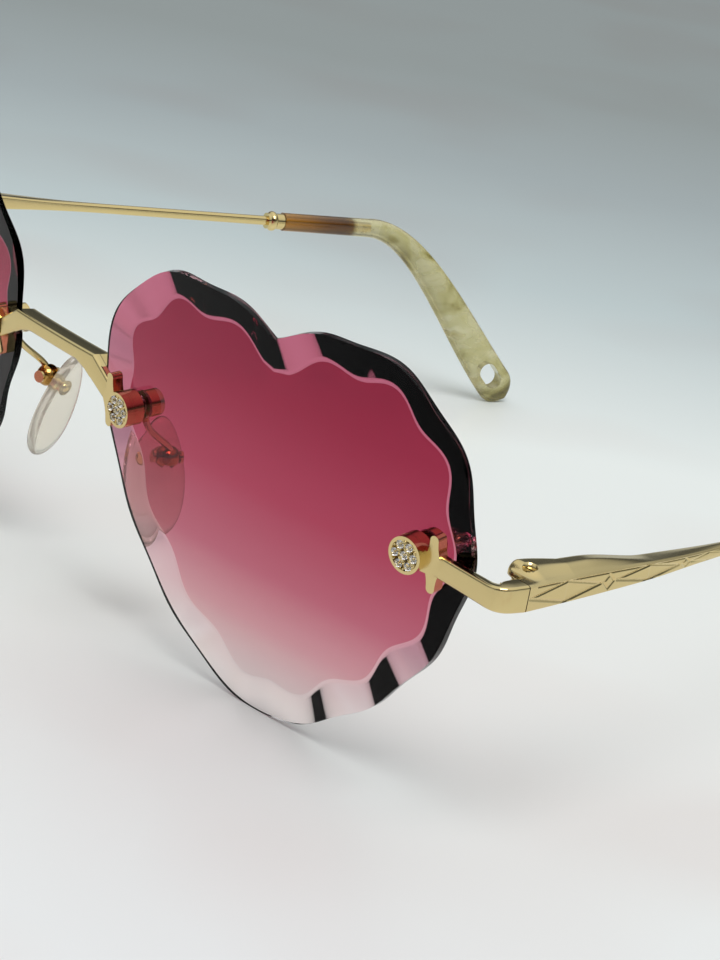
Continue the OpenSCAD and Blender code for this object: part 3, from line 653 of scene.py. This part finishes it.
def temple_section(s):
    """Points round the bar at s: up the engraved face, over the top, down inside, back under"""
    t = eased(s / TAPER_L)
    high, thick = mix(TEMPLE_H, ROD_D, t), bar_thickness(s, t)
    starts, full, falls, ends = SWELL_RUN
    grown = eased((s - starts) / (full - starts))
    swell = SWELL * grown * (1 - eased((s - falls) / (ends - falls)))
    under = UNDER * grown * (1 - eased((s - UNDER_FALLS) / (UNDER_ENDS - UNDER_FALLS)))
    round_r = min(EDGE_R, high / 5)
    corner_r = mix(INNER_R[0], INNER_R[1], t)
    ring = []
    for k in range(FACE_STEPS):
        v = mix(round_r - high / 2, high / 2 - round_r, k / (FACE_STEPS - 1))
        ring.append((-engraving(s, v), v))
    for k in range(TOP_STEPS):
        x = mix(0, thick - corner_r, k / (TOP_STEPS - 1))
        rise = swell * eased(x / (SWELL_RISE * thick))
        edge_round = round_r * max(0, 1 - x / round_r)
        ring.append((-x - FACE_STEP, high / 2 + rise - edge_round * EDGE_SHARE))
    tall, mid = (high + swell + under) / 2 - corner_r, (swell - under) / 2
    for k in range(1, INNER_STEPS + 1):
        a = math.radians(180 * k / (INNER_STEPS + 1))
        z = mid + (tall + corner_r * abs(math.cos(a))) * (1 if a < math.pi / 2 else -1)
        ring.append((-thick + corner_r - corner_r * math.sin(a), z))
    for k in range(UNDER_STEPS):
        x = mix(thick - corner_r, 0, k / (UNDER_STEPS - 1))
        fall = under * eased(x / (SWELL_RISE * thick))
        edge_round = round_r * max(0, 1 - x / round_r)
        ring.append((-x - FACE_STEP, -high / 2 - fall + edge_round * EDGE_SHARE))
    # The bar turns round towards the rod
    toward = eased((s - ROUND_FROM * TAPER_L) / ((1 - ROUND_FROM) * TAPER_L))
    if toward == 0:
        return ring
    turned_ring = []
    for out, up in ring:
        mid_out = mix(-thick / 2, rod_mid, toward)
        direction = Vector(((out + thick / 2) / (thick / 2), up / (high / 2))).normalized()
        round_point = (mid_out + ROD_D / 2 * direction.x, ROD_D / 2 * direction.y)
        flat_point = (out + thick / 2 + mid_out, up)
        turned_ring.append([mix(a, b, toward) for a, b in zip(flat_point, round_point)])
    return turned_ring


def round_section(radius):
    """A round section in the bar's order of points"""
    ring = []
    for out, up in temple_section(TAPER_L):
        direction = Vector((out - rod_mid, up)).normalized()
        ring.append((rod_mid + radius * direction.x, radius * direction.y))
    return ring


temple_rows = []
for i in range(TEMPLE_RINGS + 1):
    s = TAPER_L * i / TEMPLE_RINGS
    heading = mix(Vector((0, 1, 0)), temple_dir, eased(s / ALIGN_L)).normalized()
    temple_rows.append(ring_on(temple_start + temple_dir * s, heading, temple_section(s)))
for s, radius in (
    (TAPER_L + 2, ROD_D / 2), (METAL_L, ROD_D / 2), (METAL_L + LAP, CORE_D / 2),
    (METAL_L + COLLAR_L + CORE_L, CORE_D / 2),
):
    temple_rows.append(ring_on(temple_start + temple_dir * s, temple_dir, round_section(radius)))

# The dies and the graver leave the bar a little duller than the filed parts
engraved_gold = gold_plate("engraved gold plate", 0.2, 0.13)
left_bar = swept("left_engraved_temple", temple_rows, 1, sharp=35)
fork_half = TONGUE_H / 2 + TURN_GAP
cut(left_bar, rod("turning_room", KNUCKLE_R + TURN_GAP, -fork_half, fork_half, hinge_place, 64))
low = hinge_axis + Vector((-KNUCKLE_R - 1, -HINGE_SETBACK - 1, -fork_half))
high = hinge_axis + Vector((NECK_W + TURN_GAP, 0, fork_half))
cut(left_bar, box("slot", low, high))
cut(left_bar, rod("hole", FORK_HOLE_R, -4, 4, hinge_place, 32))
cut(left_bar, rod("sink", SINK_R, SINK_LOW, 4, hinge_place, 48))


def other_side(piece, name):
    """A mirrored copy for the right hand side"""
    mesh = piece.data.copy()
    mesh.transform(Matrix.Scale(-1, 4, (1, 0, 0)))
    mesh.flip_normals()
    copy = bpy.data.objects.new(name, mesh)
    bpy.context.scene.collection.objects.link(copy)
    return copy


right_bar = other_side(left_bar, "right_engraved_temple")
for bar, word in ((left_bar, "left"), (right_bar, "right")):
    finished(bar, engraved_gold, "gold", word + "_temple", word + "_temple")

# Hinge screws
# Slotted steel screws, plated and buffed. Each is sunk in the swell of its temple and
# screwed down through the end piece's tongue.

# Radius, lower end and upper end above the hinge's middle
SHANK, SCREW_HEAD = (0.58, -1.75, 1.5), (0.77, 1.42, 1.85)
DRIVER_SLOT, DRIVER_Z = Vector((2, 0.14, 0.25)), 1.83
SMALL_EDGE, TUMBLED_EDGE = 0.05, 0.08
# Buffed all round, so that small parts show sharp lights
buffed_gold = gold_plate("buffed gold plate", 0.05, 0.05)
across = hinge_axis + Vector((0, 0, DRIVER_Z))
for side, word in SIDES:
    screw = rod(word + "_slotted_screw", *SHANK, hinge_place, 32, side)
    cut(screw, rod("screw_head", *SCREW_HEAD, hinge_place, 48, side), "UNION")
    cut(screw, box("driver_slot", across - DRIVER_SLOT, across + DRIVER_SLOT, side))
    soften(screw, SMALL_EDGE)
    stands_for = ["hinge_screws"] if side > 0 else []
    finished(screw, buffed_gold, "gold_polished", "front", *stands_for)

# Collars
# Turned brass beads, plated and buffed. Each is pushed over the temple's wire where
# the wire enters the acetate tip.


def finish_node(name, finish, edge_width):
    """A solid that keeps its shape gets its finish and soft edges"""
    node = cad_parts[name]
    for slot in node.material_slots:
        slot.material = finish
    soften(node, edge_width, 28)


for name in ("left_collar", "right_collar"):
    finish_node(name, buffed_gold, TUMBLED_EDGE)

# Temple tips
# Cut from a sheet of mottled green and amber cellulose acetate, bent round the ear,
# flattened to a round end with an oval eyelet, and tumbled to a gloss.

TIP_STRAIGHT, TIP_REACH, TIP_TURN_IN = 19, 23.5, 4.7
TIP_D, TIP_W, TIP_T, TIP_SQUARE, TIP_END_SHARE = 2.7, 6, 2.3, 2.4, 0.6
EYELET_W, EYELET_L, EYELET_INSET, EYELET_STEPS = 2.8, 4.7, 5.2, 48
TIP_LEAVE, TIP_RUN_ON, TIP_PULL = 0.8, 1.27, 0.4
STRAIGHT_STEPS, BEND_STEPS, TIP_SIDES = 20, 60, 40
TIP_END_DEGREES = (15, 30, 45, 58, 68, 76, 83)
# The solid's steps along the tip, and those in its straight part
SOLID_STEPS, SOLID_STRAIGHT = 14, 2
ACETATE_EDGE = 0.25
turn_in = Matrix.Rotation(closing, 3, "Z")


def rod_at(s):
    return temple_start + temple_dir * s + turn_in @ Vector((rod_mid, 0, 0))


tip_s = METAL_L + COLLAR_L
bend = rod_at(tip_s + TIP_STRAIGHT)
tip_end = Vector((bend.x - TIP_TURN_IN, bend.y + TIP_REACH, TIP_W / 2))
leave = rod_at(tip_s + TIP_STRAIGHT * TIP_LEAVE)
run_on = rod_at(tip_s + TIP_STRAIGHT * TIP_RUN_ON)
pull = mix(tip_end, bend, TIP_PULL)
tip_line = [mix(rod_at(tip_s), leave, k / STRAIGHT_STEPS) for k in range(STRAIGHT_STEPS)]
tip_line += [cubic(leave, run_on, pull, tip_end, k / BEND_STEPS) for k in range(BEND_STEPS + 1)]
tip_heads = headings(tip_line)


def rounded(wide, high):
    """A section between an oval and a rounded bar"""
    ring = []
    for c, s in circle(TIP_SIDES):
        ring.append((
            math.copysign(abs(c) ** (2 / TIP_SQUARE), c) * wide / 2,
            math.copysign(abs(s) ** (2 / TIP_SQUARE), s) * high / 2,
        ))
    return ring


# The tip widens as the solid's does, step by step, over this finer line
tip_rows = []
for k, (p, heading) in enumerate(zip(tip_line, tip_heads)):
    if k < STRAIGHT_STEPS:
        at = SOLID_STRAIGHT * TIP_LEAVE * k / STRAIGHT_STEPS
    else:
        at = mix(SOLID_STRAIGHT, SOLID_STEPS, (k - STRAIGHT_STEPS) / BEND_STEPS)
    t = eased(at / SOLID_STEPS)
    tip_rows.append(ring_on(p, heading, rounded(mix(TIP_D, TIP_T, t), mix(TIP_D, TIP_W, t))))
tip_dir = tip_heads[-1]
for degrees in TIP_END_DEGREES:
    a = math.radians(degrees)
    wide, thin = TIP_W * math.cos(a), TIP_T * mix(1, TIP_END_SHARE, math.sin(a))
    p = tip_end + tip_dir * math.sin(a) * TIP_W / 2
    tip_rows.append(ring_on(p, tip_dir, rounded(thin, wide)))

# Acetate sheet is pressed from blended chips, so its colours lie in soft cloudy
# patches about 5 mm across, and light goes some way into it. The patches are drawn
# out along the temple, and over the core wire the sheet is amber, darkest before
# the bend.
PATCH_SIZE, DRAWN_OUT = 5.0, (1.0, 0.55, 1.0)
ACETATE_TONES = [
    (0.3, "5c5020"), (0.38, "a39650"), (0.46, "d2c98c"), (0.6, "eae3b8"), (0.72, "c4b472"),
]
AMBER_TONES = [(0.0, "c08a2c"), (0.3, "a8741c"), (0.6, "7a4e0e"), (0.95, "5f3c0a")]
# The amber ends at this point of the tip's line, over its last share
AMBER_END, AMBER_FADE = 16, 0.07


def pressed_acetate():
    made, tree = material("pressed and polished acetate")
    place = add(tree, "TexCoord")
    drawn = add(tree, "Mapping", links={"Vector": (place, "Object")}, Scale=DRAWN_OUT)
    cloud = add(
        tree, "TexNoise", links={"Vector": (drawn, "Vector")},
        Scale=1000 / PATCH_SIZE, Detail=3.0, Roughness=0.55, Distortion=0.6,
    )
    tones = add(tree, "ValToRGB", links={"Fac": (cloud, "Fac")})
    set_ramp(tones, ACETATE_TONES)
    along = add(tree, "SeparateXYZ", links={"Vector": (place, "Object")})
    start, end = tip_line[0].y / 1000, tip_line[AMBER_END].y / 1000
    run = add(tree, "MapRange", links={"Value": (along, "Y")}, From_Min=start, From_Max=end)
    amber = add(tree, "ValToRGB", links={"Fac": (run, "Result")})
    set_ramp(amber, AMBER_TONES)
    inside = add(
        tree, "MapRange", links={"Value": (run, "Result")}, From_Min=1.0, From_Max=1 - AMBER_FADE,
    )
    blended = add(
        tree, "Mix", {"data_type": "RGBA"},
        {"Factor": (inside, "Result"), 6: (tones, "Color"), 7: (amber, "Color")},
    )
    shader = add(
        tree, "BsdfPrincipled", links={"Base Color": (blended, 2)}, Roughness=0.08, IOR=1.49,
        Transmission_Weight=0.68, Coat_Weight=0.3, Coat_Roughness=0.03,
    )
    add(tree, "OutputMaterial", links={"Surface": (shader, "BSDF")})
    return made


acetate = pressed_acetate()
left_tip = swept("left_acetate_tip", tip_rows, 1, sharp=SOFT_CREASE)
eyelet_place = (
    Matrix.Translation(tip_end - tip_dir * (EYELET_INSET - TIP_W / 2))
    @ Matrix.Rotation(-math.atan2(tip_dir.x, tip_dir.y), 4, "Z")
    @ Matrix.Rotation(math.asin(tip_dir.z), 4, "X")
    @ Matrix.Rotation(math.radians(90), 4, "Z")
)
eyelet = []
for c, s in circle(EYELET_STEPS):
    straight = (EYELET_L - EYELET_W) / 2 * (1 if c >= 0 else -1)
    eyelet.append((straight + EYELET_W / 2 * c, EYELET_W / 2 * s))
cut(left_tip, prism("eyelet", eyelet, -TIP_W, TIP_W, eyelet_place))
right_tip = other_side(left_tip, "right_acetate_tip")
for tip, word in ((left_tip, "left"), (right_tip, "right")):
    soften(tip, ACETATE_EDGE, 50)
    finished(tip, acetate, "acetate", word + "_temple", word + "_tip")

# Jewelled screws and nuts
# The lens screws have round heads with a raised rim, set with cut stones that small
# beads of metal hold down. Domed nuts hold them behind the lens. All are buffed.

HEAD_T, DISH_DEPTH, DISH_RIM, STONE_D, STONE_H, STONES = 1, 0.45, 0.35, 1, 0.75, 6
STONE_CIRCLE = HEAD_D / 2 - DISH_RIM - STONE_D / 2
# From the table down: height and radius as shares of the stone's, and turn in facets
FACETS, TIP_OFF_FLOOR = 8, 0.02
CUT_LEVELS = [(1, 0.56, 0), (0.84, 0.82, 0.5), (0.68, 1.0, 0), (0.62, 1.0, 0), (0.25, 0.42, 0.5)]
# Beads between each pair of outer stones: how far out, and radius
BEADS, BEAD_LIFT, BEAD_SIDES, BEAD_STEPS = ((1.56, 0.15), (0.68, 0.12)), 0.42, 10, 6
dish_floor = DISH_DEPTH - PLATE_T - HEAD_T
# Haze comes in patches about 1.1 mm across, between these shares of the roughness
HAZE_SIZE, LEAST_HAZE, MOST_HAZE = 1.1, 0.8, 1.3


def clear_finish(name, code, ior, share, roughness=0.0):
    """A material that lets a share of the light through, hazy if it is rough"""
    made, tree = material(name)
    shader = add(
        tree, "BsdfPrincipled",
        Base_Color=linear(code), Roughness=roughness, IOR=ior, Transmission_Weight=share,
    )
    if roughness:
        place = add(tree, "TexCoord")
        haze = add(
            tree, "TexNoise", links={"Vector": (place, "Object")},
            Scale=1000 / HAZE_SIZE, Detail=2.0,
        )
        rough = add(
            tree, "MapRange", links={"Value": (haze, "Fac")},
            To_Min=roughness * LEAST_HAZE, To_Max=roughness * MOST_HAZE,
        )
        tree.links.new(rough.outputs["Result"], shader.inputs["Roughness"])
    add(tree, "OutputMaterial", links={"Surface": (shader, "BSDF")})
    return made


# Lead glass bends light more than any plastic here, so each facet flashes
cut_glass = clear_finish("cut lead glass", "ffffff", 1.7, 1.0)


def brilliant(place, centre):
    """Rings of a round brilliant: table, crown, girdle and pointed pavilion"""
    rows = []
    for rise, share, offset in CUT_LEVELS:
        radius, y = STONE_D / 2 * share, dish_floor - STONE_H * rise
        rows.append([
            place @ Vector((centre[0] + radius * c, y, centre[1] + radius * s))
            for c, s in circle(FACETS, offset)
        ])
    ends = (dish_floor - STONE_H, dish_floor - TIP_OFF_FLOOR)
    return rows, [place @ Vector((centre[0], y, centre[1])) for y in ends]


def ball_rings(centre, radius, place, steps, n, stretch=(1, 1, 1)):
    """Rings of a turned ball, with its poles along y"""
    rows = []
    for step in range(1, steps):
        polar = math.pi * step / steps
        x, z = radius * math.sin(polar) * stretch[0], radius * math.sin(polar) * stretch[2]
        y = -radius * math.cos(polar) * stretch[1]
        rows.append([place @ (Vector(centre) + Vector((x * c, y, z * s))) for c, s in circle(n)])
    return rows


def add_shell(points, faces, rows, ends, side):
    """Adds one closed skin to a mesh of many"""
    start = len(points)
    shell = [p for row in rows for p in row] + ends
    points += shell if side > 0 else mirrored(shell)
    faces += [tuple(start + i for i in face) for face in skin_faces(len(rows), len(rows[0]))]


for name in ("jewelled_screws", "lens_nuts"):
    finish_node(name, buffed_gold, TUMBLED_EDGE)

stone_points, stone_faces, bead_points, bead_faces = [], [], [], []
for side, word in SIDES:
    for q in (INNER_SCREW, OUTER_SCREW):
        place = screw_frame(q)
        for centre in [(0, 0)] + [(STONE_CIRCLE * c, -STONE_CIRCLE * s) for c, s in circle(STONES)]:
            rows, ends = brilliant(place, centre)
            add_shell(stone_points, stone_faces, rows, ends, side)
        for c, s in circle(STONES, 0.5):
            for away, radius in BEADS:
                centre = Vector((away * c, dish_floor - BEAD_LIFT, away * s))
                rows = ball_rings(centre, radius, place, BEAD_STEPS, BEAD_SIDES)
                ends = [place @ (centre + Vector((0, end * radius, 0))) for end in (-1, 1)]
                add_shell(bead_points, bead_faces, rows, ends, side)

stones = mesh_piece("brilliant_stones", stone_points, stone_faces, smooth=False)
finished(stones, cut_glass, "crystal", "front", "crystals")
beads = mesh_piece("setting_beads", bead_points, bead_faces)
finished(beads, buffed_gold, "gold_polished", "front")

# Sleeves and washers
# Small bushes and washers moulded in clear nylon. They keep the screws and the nuts
# from touching the lens.

# Moulded nylon is clear with a slight haze
nylon = clear_finish("moulded clear nylon", "f1efe9", 1.53, 0.9, 0.18)
for name in ("lens_sleeves", "lens_washers"):
    finish_node(name, nylon, SMALL_EDGE)

# Pad arms
# Drawn wire, bent down from a round foot that the nut clamps behind the lens, then
# plated and buffed.

NUT_D, WIRE_D, FOOT_T, WASHER_T, BACK_Y = 3.2, 0.9, 0.6, 0.3, 2.45
PAD_X, PAD_Y, PAD_Z, PAD_SPLAY, PAD_TURN = 14.3, 5.5, 22.4, 15, 17
# Where the wire starts inside the foot's rim, and ends beside the pin
WIRE_IN_RIM, WIRE_END = 0.3, Vector((0.55, -0.2, 1.1))
WIRE_PULL, WIRE_BACK, WIRE_BOW = 2.4, 0.3, Vector((0.2, 0.3, 0))
# How thick the wire is drawn, as a share of the solid's
WIRE_SHARE, WIRE_STEPS, WIRE_SIDES = 0.9, 40, 16
pad_pin = Vector((PAD_X, PAD_Y, PAD_Z)) + set_back
at_pad = (
    Matrix.Translation(pad_pin)
    @ Matrix.Rotation(math.radians(-PAD_TURN), 4, "Z")
    @ Matrix.Rotation(math.radians(-PAD_SPLAY), 4, "Y")
)
inner_frame = screw_frame(INNER_SCREW)
foot_y = BACK_Y + WASHER_T
wire_from = inner_frame @ Vector((0, foot_y + FOOT_T / 2, -NUT_D / 2 + WIRE_IN_RIM))
wire_down = (inner_frame.to_3x3() @ Vector((0, 0, -1))).normalized()
wire_to = pad_pin + WIRE_END
first_pull = wire_from + wire_down * WIRE_PULL
second_pull = mix(wire_to, wire_from, WIRE_BACK) + WIRE_BOW
wire_path = []
for k in range(WIRE_STEPS + 1):
    wire_path.append(cubic(wire_from, first_pull, second_pull, wire_to, k / WIRE_STEPS))
wire_rows = []
for p, heading in zip(wire_path, headings(wire_path)):
    out = heading.cross(Vector((1, 0, 0))).normalized()
    up = out.cross(heading)
    radius = WIRE_SHARE * WIRE_D / 2
    wire_rows.append([p + (out * c + up * s) * radius for c, s in circle(WIRE_SIDES)])
for side, word in SIDES:
    arm = swept(word + "_pad_wire", wire_rows, side, sharp=50)
    foot = rod("foot", NUT_D / 2, foot_y + LAP, foot_y + FOOT_T - LAP, inner_frame, 48, side)
    cut(foot, rod("hole", SCREW_HOLE_R, foot_y - 1, foot_y + 2, inner_frame, 32, side))
    cut(arm, foot, "UNION")
    soften(arm, TUMBLED_EDGE, 45)
    finished(arm, buffed_gold, "gold", "front", word + "_pad_arm")

# Pad boxes, pins and lugs
# A ball of brass is soldered to each wire and slotted for the lug, a tab whose button
# is moulded into the pad. A riveted pin goes through both, so that the pad can rock.

BOX_R, LUG_T, LUG_R, LUG_HOLE_R, STEM_HALF = 1.42, 0.9, 0.85, 0.49, 0.6
BUTTON_R, BUTTON_X = 0.95, -2.45
BOX_STRETCH, BUTTON_STRETCH = (1, 1.08, 1), (0.9, 1.1, 1.1)
BALL_STEPS, BALL_SIDES = 24, 40
# The pad balls' gold is painted darker and redder than the other plate: painted shade and dark
# reflection for the body, and the red of the lens in front
painted_dark_ball_gold = gold_plate("tumbled gold plate", 0.05, 0.05, "b98f4e")


def ball(name, centre, radius, side, stretch):
    """A turned ball in the pad's frame"""
    rings = ball_rings(centre, radius, at_pad, BALL_STEPS, BALL_SIDES, stretch)
    return swept(name, rings, side)


for side, word in SIDES:
    holder = ball(word + "_pad_ball", (0, 0, 0), BOX_R, side, BOX_STRETCH)
    half = LUG_T / 2 + TURN_GAP
    cut(holder, box("slot", (-3, -half, -3), (LUG_R + TURN_GAP, half, 3), side, at_pad))
    soften(holder, TUMBLED_EDGE, 40)
    # The ball's gold holds painted shade and reflection, darker and redder than the plate
    finished(holder, painted_dark_ball_gold, "gold", "front", word + "_pad_box")
    lug = rod(word + "_pad_tab", LUG_R, -LUG_T / 2, LUG_T / 2, at_pad, 40, side)
    stem_low = (BUTTON_X, LAP - LUG_T / 2, -STEM_HALF)
    cut(lug, box("stem", stem_low, (0, LUG_T / 2 - LAP, STEM_HALF), side, at_pad), "UNION")
    cut(lug, ball("button", (BUTTON_X, 0, 0), BUTTON_R, side, BUTTON_STRETCH), "UNION")
    cut(lug, rod("hole", LUG_HOLE_R, -2, 2, at_pad, 32, side))
    soften(lug, SMALL_EDGE, 40)
    finished(lug, buffed_gold, "gold", word + "_pad", word + "_pad_lug")
finish_node("pad_pins", buffed_gold, TUMBLED_EDGE)

# Nose pads
# Teardrop pads of soft clear silicone, moulded over the buttons of the lugs, which
# hold them from inside.

PAD_L, PAD_W, PAD_T, PAD_NARROWING, PAD_DROP_SHARE, PAD_SIDES = 14.6, 6.6, 1.5, 0.22, 0.19, 96
# The pad keeps clear of the box, which is 3 mm wide
BOX_W, PAD_ROOM = 3, 0.5
stand_off = BOX_W / 2 + TURN_GAP + PAD_ROOM
pad_drop = PAD_L * PAD_DROP_SHARE
# A rounded rim, then an even slope to a fuller middle: depth and size as shares
PAD_RINGS = [
    (0.0, 0.5), (0.0, 0.8), (0.03, 0.88), (0.1, 0.94), (0.22, 0.98), (0.4, 1.0), (0.6, 1.0),
    (0.78, 0.975), (0.9, 0.93), (0.97, 0.86), (1.0, 0.78), (1.0, 0.5),
]
pad_rows = []
for depth, share in PAD_RINGS:
    ring = []
    for c, s in circle(PAD_SIDES):
        y, z = PAD_W / 2 * c * (1 - PAD_NARROWING * s), PAD_L / 2 * s
        ring.append(at_pad @ Vector((-stand_off - depth * PAD_T, y * share, z * share - pad_drop)))
    pad_rows.append(ring)

# Silicone is clear but a little milky, with a skin as smooth as its mould
silicone = clear_finish("moulded milky silicone", "f9f3e6", 1.41, 0.8, 0.04)
for side, word in SIDES:
    pad = swept(word + "_silicone_pad", pad_rows, side, sharp=SOFT_CREASE)
    finished(pad, silicone, "pad_silicone", word + "_pad", word + "_nose_pad")

# Floor, light and camera
# The glasses stand on a table laid with glazed paper, under one soft box, in a room
# that their metal mirrors. The camera stands where the photograph was taken.

CAMERA_AT = Vector((267.701, -187.327 + shift, 127.478)) / 1000
YAW, PITCH, ROLL = math.radians(48.801), math.radians(18.126), math.radians(10.718)
FOCAL_PIXELS, PICTURE_H, SENSOR = 2846, 960, 36
FLOOR_REACH = 4000
# Metres over the floor, from below the camera, between which painted shade turns the paper grey
PAINTED_SHADE_FROM, PAINTED_SHADE_UNTIL = 0.24, 0.84
# The paper's colour with painted light and shade, by distance from below the camera
PAPER_AND_PAINTED_SHADE_TONES = [
    (0.0, "e6e8e8"), (0.15, "edeeeb"), (0.3, "f2f7f4"),
    (0.47, "c9d6d7"), (0.64, "adb8ba"), (0.83, "9ba4a3"),
]
# Size and colour of faint patches of painted pink light, for light through the lenses
PINK_LIGHT_SIZE, PAINTED_PINK_LIGHT = 60, "f6ecea"
heading = Vector((-math.sin(YAW), math.cos(YAW), 0))

corners = [(-1, -1), (1, -1), (1, 1), (-1, 1)]
floor_points = [Vector((x * FLOOR_REACH, y * FLOOR_REACH, 0)) for x, y in corners]
floor = mesh_piece("floor", floor_points, [(0, 1, 2, 3)])
# Glazed paper has a dull shine. Its colour holds painted light and shade, lightest a little way off
# and greyer towards the back of the table, and faint pink patches of painted light.
paper, tree = material("glazed paper")
place = add(tree, "TexCoord")
far = add(
    tree, "VectorMath", {"operation": "DOT_PRODUCT"}, {0: (place, "Object")}, {1: heading},
)
below = Vector((CAMERA_AT.x, CAMERA_AT.y, 0)).dot(heading)
away = add(
    tree, "MapRange", links={"Value": (far, "Value")},
    From_Min=below + PAINTED_SHADE_FROM, From_Max=below + PAINTED_SHADE_UNTIL,
)
# Painted light and shade: the paper greys towards the back of the table
shade = add(tree, "ValToRGB", links={"Fac": (away, "Result")})
set_ramp(shade, PAPER_AND_PAINTED_SHADE_TONES)
# Painted pink light in soft patches, multiplied into the paper's colour
pink_light_noise = add(
    tree, "TexNoise", links={"Vector": (place, "Object")}, Scale=1000 / PINK_LIGHT_SIZE, Detail=1.0,
)
pink_light_share = add(
    tree, "MapRange", links={"Value": (pink_light_noise, "Fac")}, From_Min=0.48, From_Max=0.7, To_Max=0.5,
)
painted_paper = add(
    tree, "Mix", {"data_type": "RGBA", "blend_type": "MULTIPLY"},
    {"Factor": (pink_light_share, "Result"), 6: (shade, "Color")}, {7: linear(PAINTED_PINK_LIGHT)},
)
shader = add(tree, "BsdfPrincipled", links={"Base Color": (painted_paper, 2)}, Roughness=0.35)
add(tree, "OutputMaterial", links={"Surface": (shader, "BSDF")})
floor.data.materials.append(paper)

# A room with a pale skirting, dark walls and a bright ceiling, so that buffed metal
# shows dark and light. Towards the camera it is darkest, with a few warm patches.
ROOM_TONES = [
    (0.0, "ccd2d4"), (0.17, "c2c8ca"), (0.22, "4c4f50"),
    (0.36, "5c5f60"), (0.6, "dfe4e6"), (1.0, "ffffff"),
]
CAMERA_SIDE_TONES = [
    (0.0, "100e0d"), (0.52, "15120f"), (0.57, "4a241c"),
    (0.62, "a0655a"), (0.66, "2a1512"), (1.0, "15120f"),
]
PATCHES_ACROSS = 7.0
world = bpy.data.worlds.new("studio")
bpy.context.scene.world = world
world.use_nodes = True
tree = world.node_tree
sky = add(tree, "TexCoord")
apart = add(tree, "SeparateXYZ", links={"Vector": (sky, "Generated")})
height = add(tree, "ValToRGB", links={"Fac": (apart, "Z")})
set_ramp(height, ROOM_TONES)
toward = add(
    tree, "VectorMath", {"operation": "DOT_PRODUCT"}, {0: (sky, "Generated")}, {1: -heading},
)
side_dark = add(
    tree, "MapRange", links={"Value": (toward, "Value")}, From_Min=0.35, From_Max=0.8, To_Max=0.85,
)
# The skirting stays pale on this side too
above = add(tree, "MapRange", links={"Value": (apart, "Z")}, From_Min=0.16, From_Max=0.22)
dark = add(
    tree, "Math", {"operation": "MULTIPLY"}, {0: (side_dark, "Result"), 1: (above, "Result")},
)
patches = add(
    tree, "TexNoise", links={"Vector": (sky, "Generated")},
    Scale=PATCHES_ACROSS, Detail=2.0, Roughness=0.6,
)
things = add(tree, "ValToRGB", links={"Fac": (patches, "Fac")})
set_ramp(things, CAMERA_SIDE_TONES)
room = add(
    tree, "Mix", {"data_type": "RGBA"},
    {"Factor": (dark, "Value"), 6: (height, "Color"), 7: (things, "Color")},
)
background = tree.nodes["Background"]
tree.links.new(room.outputs[2], background.inputs["Color"])
background.inputs["Strength"].default_value = 0.95

# One soft box hangs high up, to the right of the lenses
lamp = bpy.data.lights.new("soft box", "AREA")
lamp.shape, lamp.size, lamp.energy = "SQUARE", 0.6, 6.0
soft_box = bpy.data.objects.new("soft_box", lamp)
soft_box.location = (0.45, -0.25, 0.95)
soft_box.rotation_euler = (-soft_box.location).to_track_quat("-Z", "Y").to_euler()
bpy.context.scene.collection.objects.link(soft_box)

# The camera is turned, then tipped down, then rolled
camera_data = bpy.data.cameras.new("camera")
camera_data.sensor_width = SENSOR
camera_data.lens = FOCAL_PIXELS * SENSOR / PICTURE_H
camera_data.clip_start, camera_data.clip_end = 0.01, 20
camera = bpy.data.objects.new("camera", camera_data)
bpy.context.scene.collection.objects.link(camera)
bpy.context.scene.camera = camera
forward = heading * math.cos(PITCH) - Vector((0, 0, math.sin(PITCH)))
level = Vector((math.cos(YAW), math.sin(YAW), 0))
upward = level.cross(forward)
right = level * math.cos(ROLL) + upward * math.sin(ROLL)
up = upward * math.cos(ROLL) - level * math.sin(ROLL)
axes = Matrix((right, up, -forward)).transposed().to_4x4()
camera.matrix_world = Matrix.Translation(CAMERA_AT) @ axes

bpy.context.scene.view_settings.view_transform = "Standard"
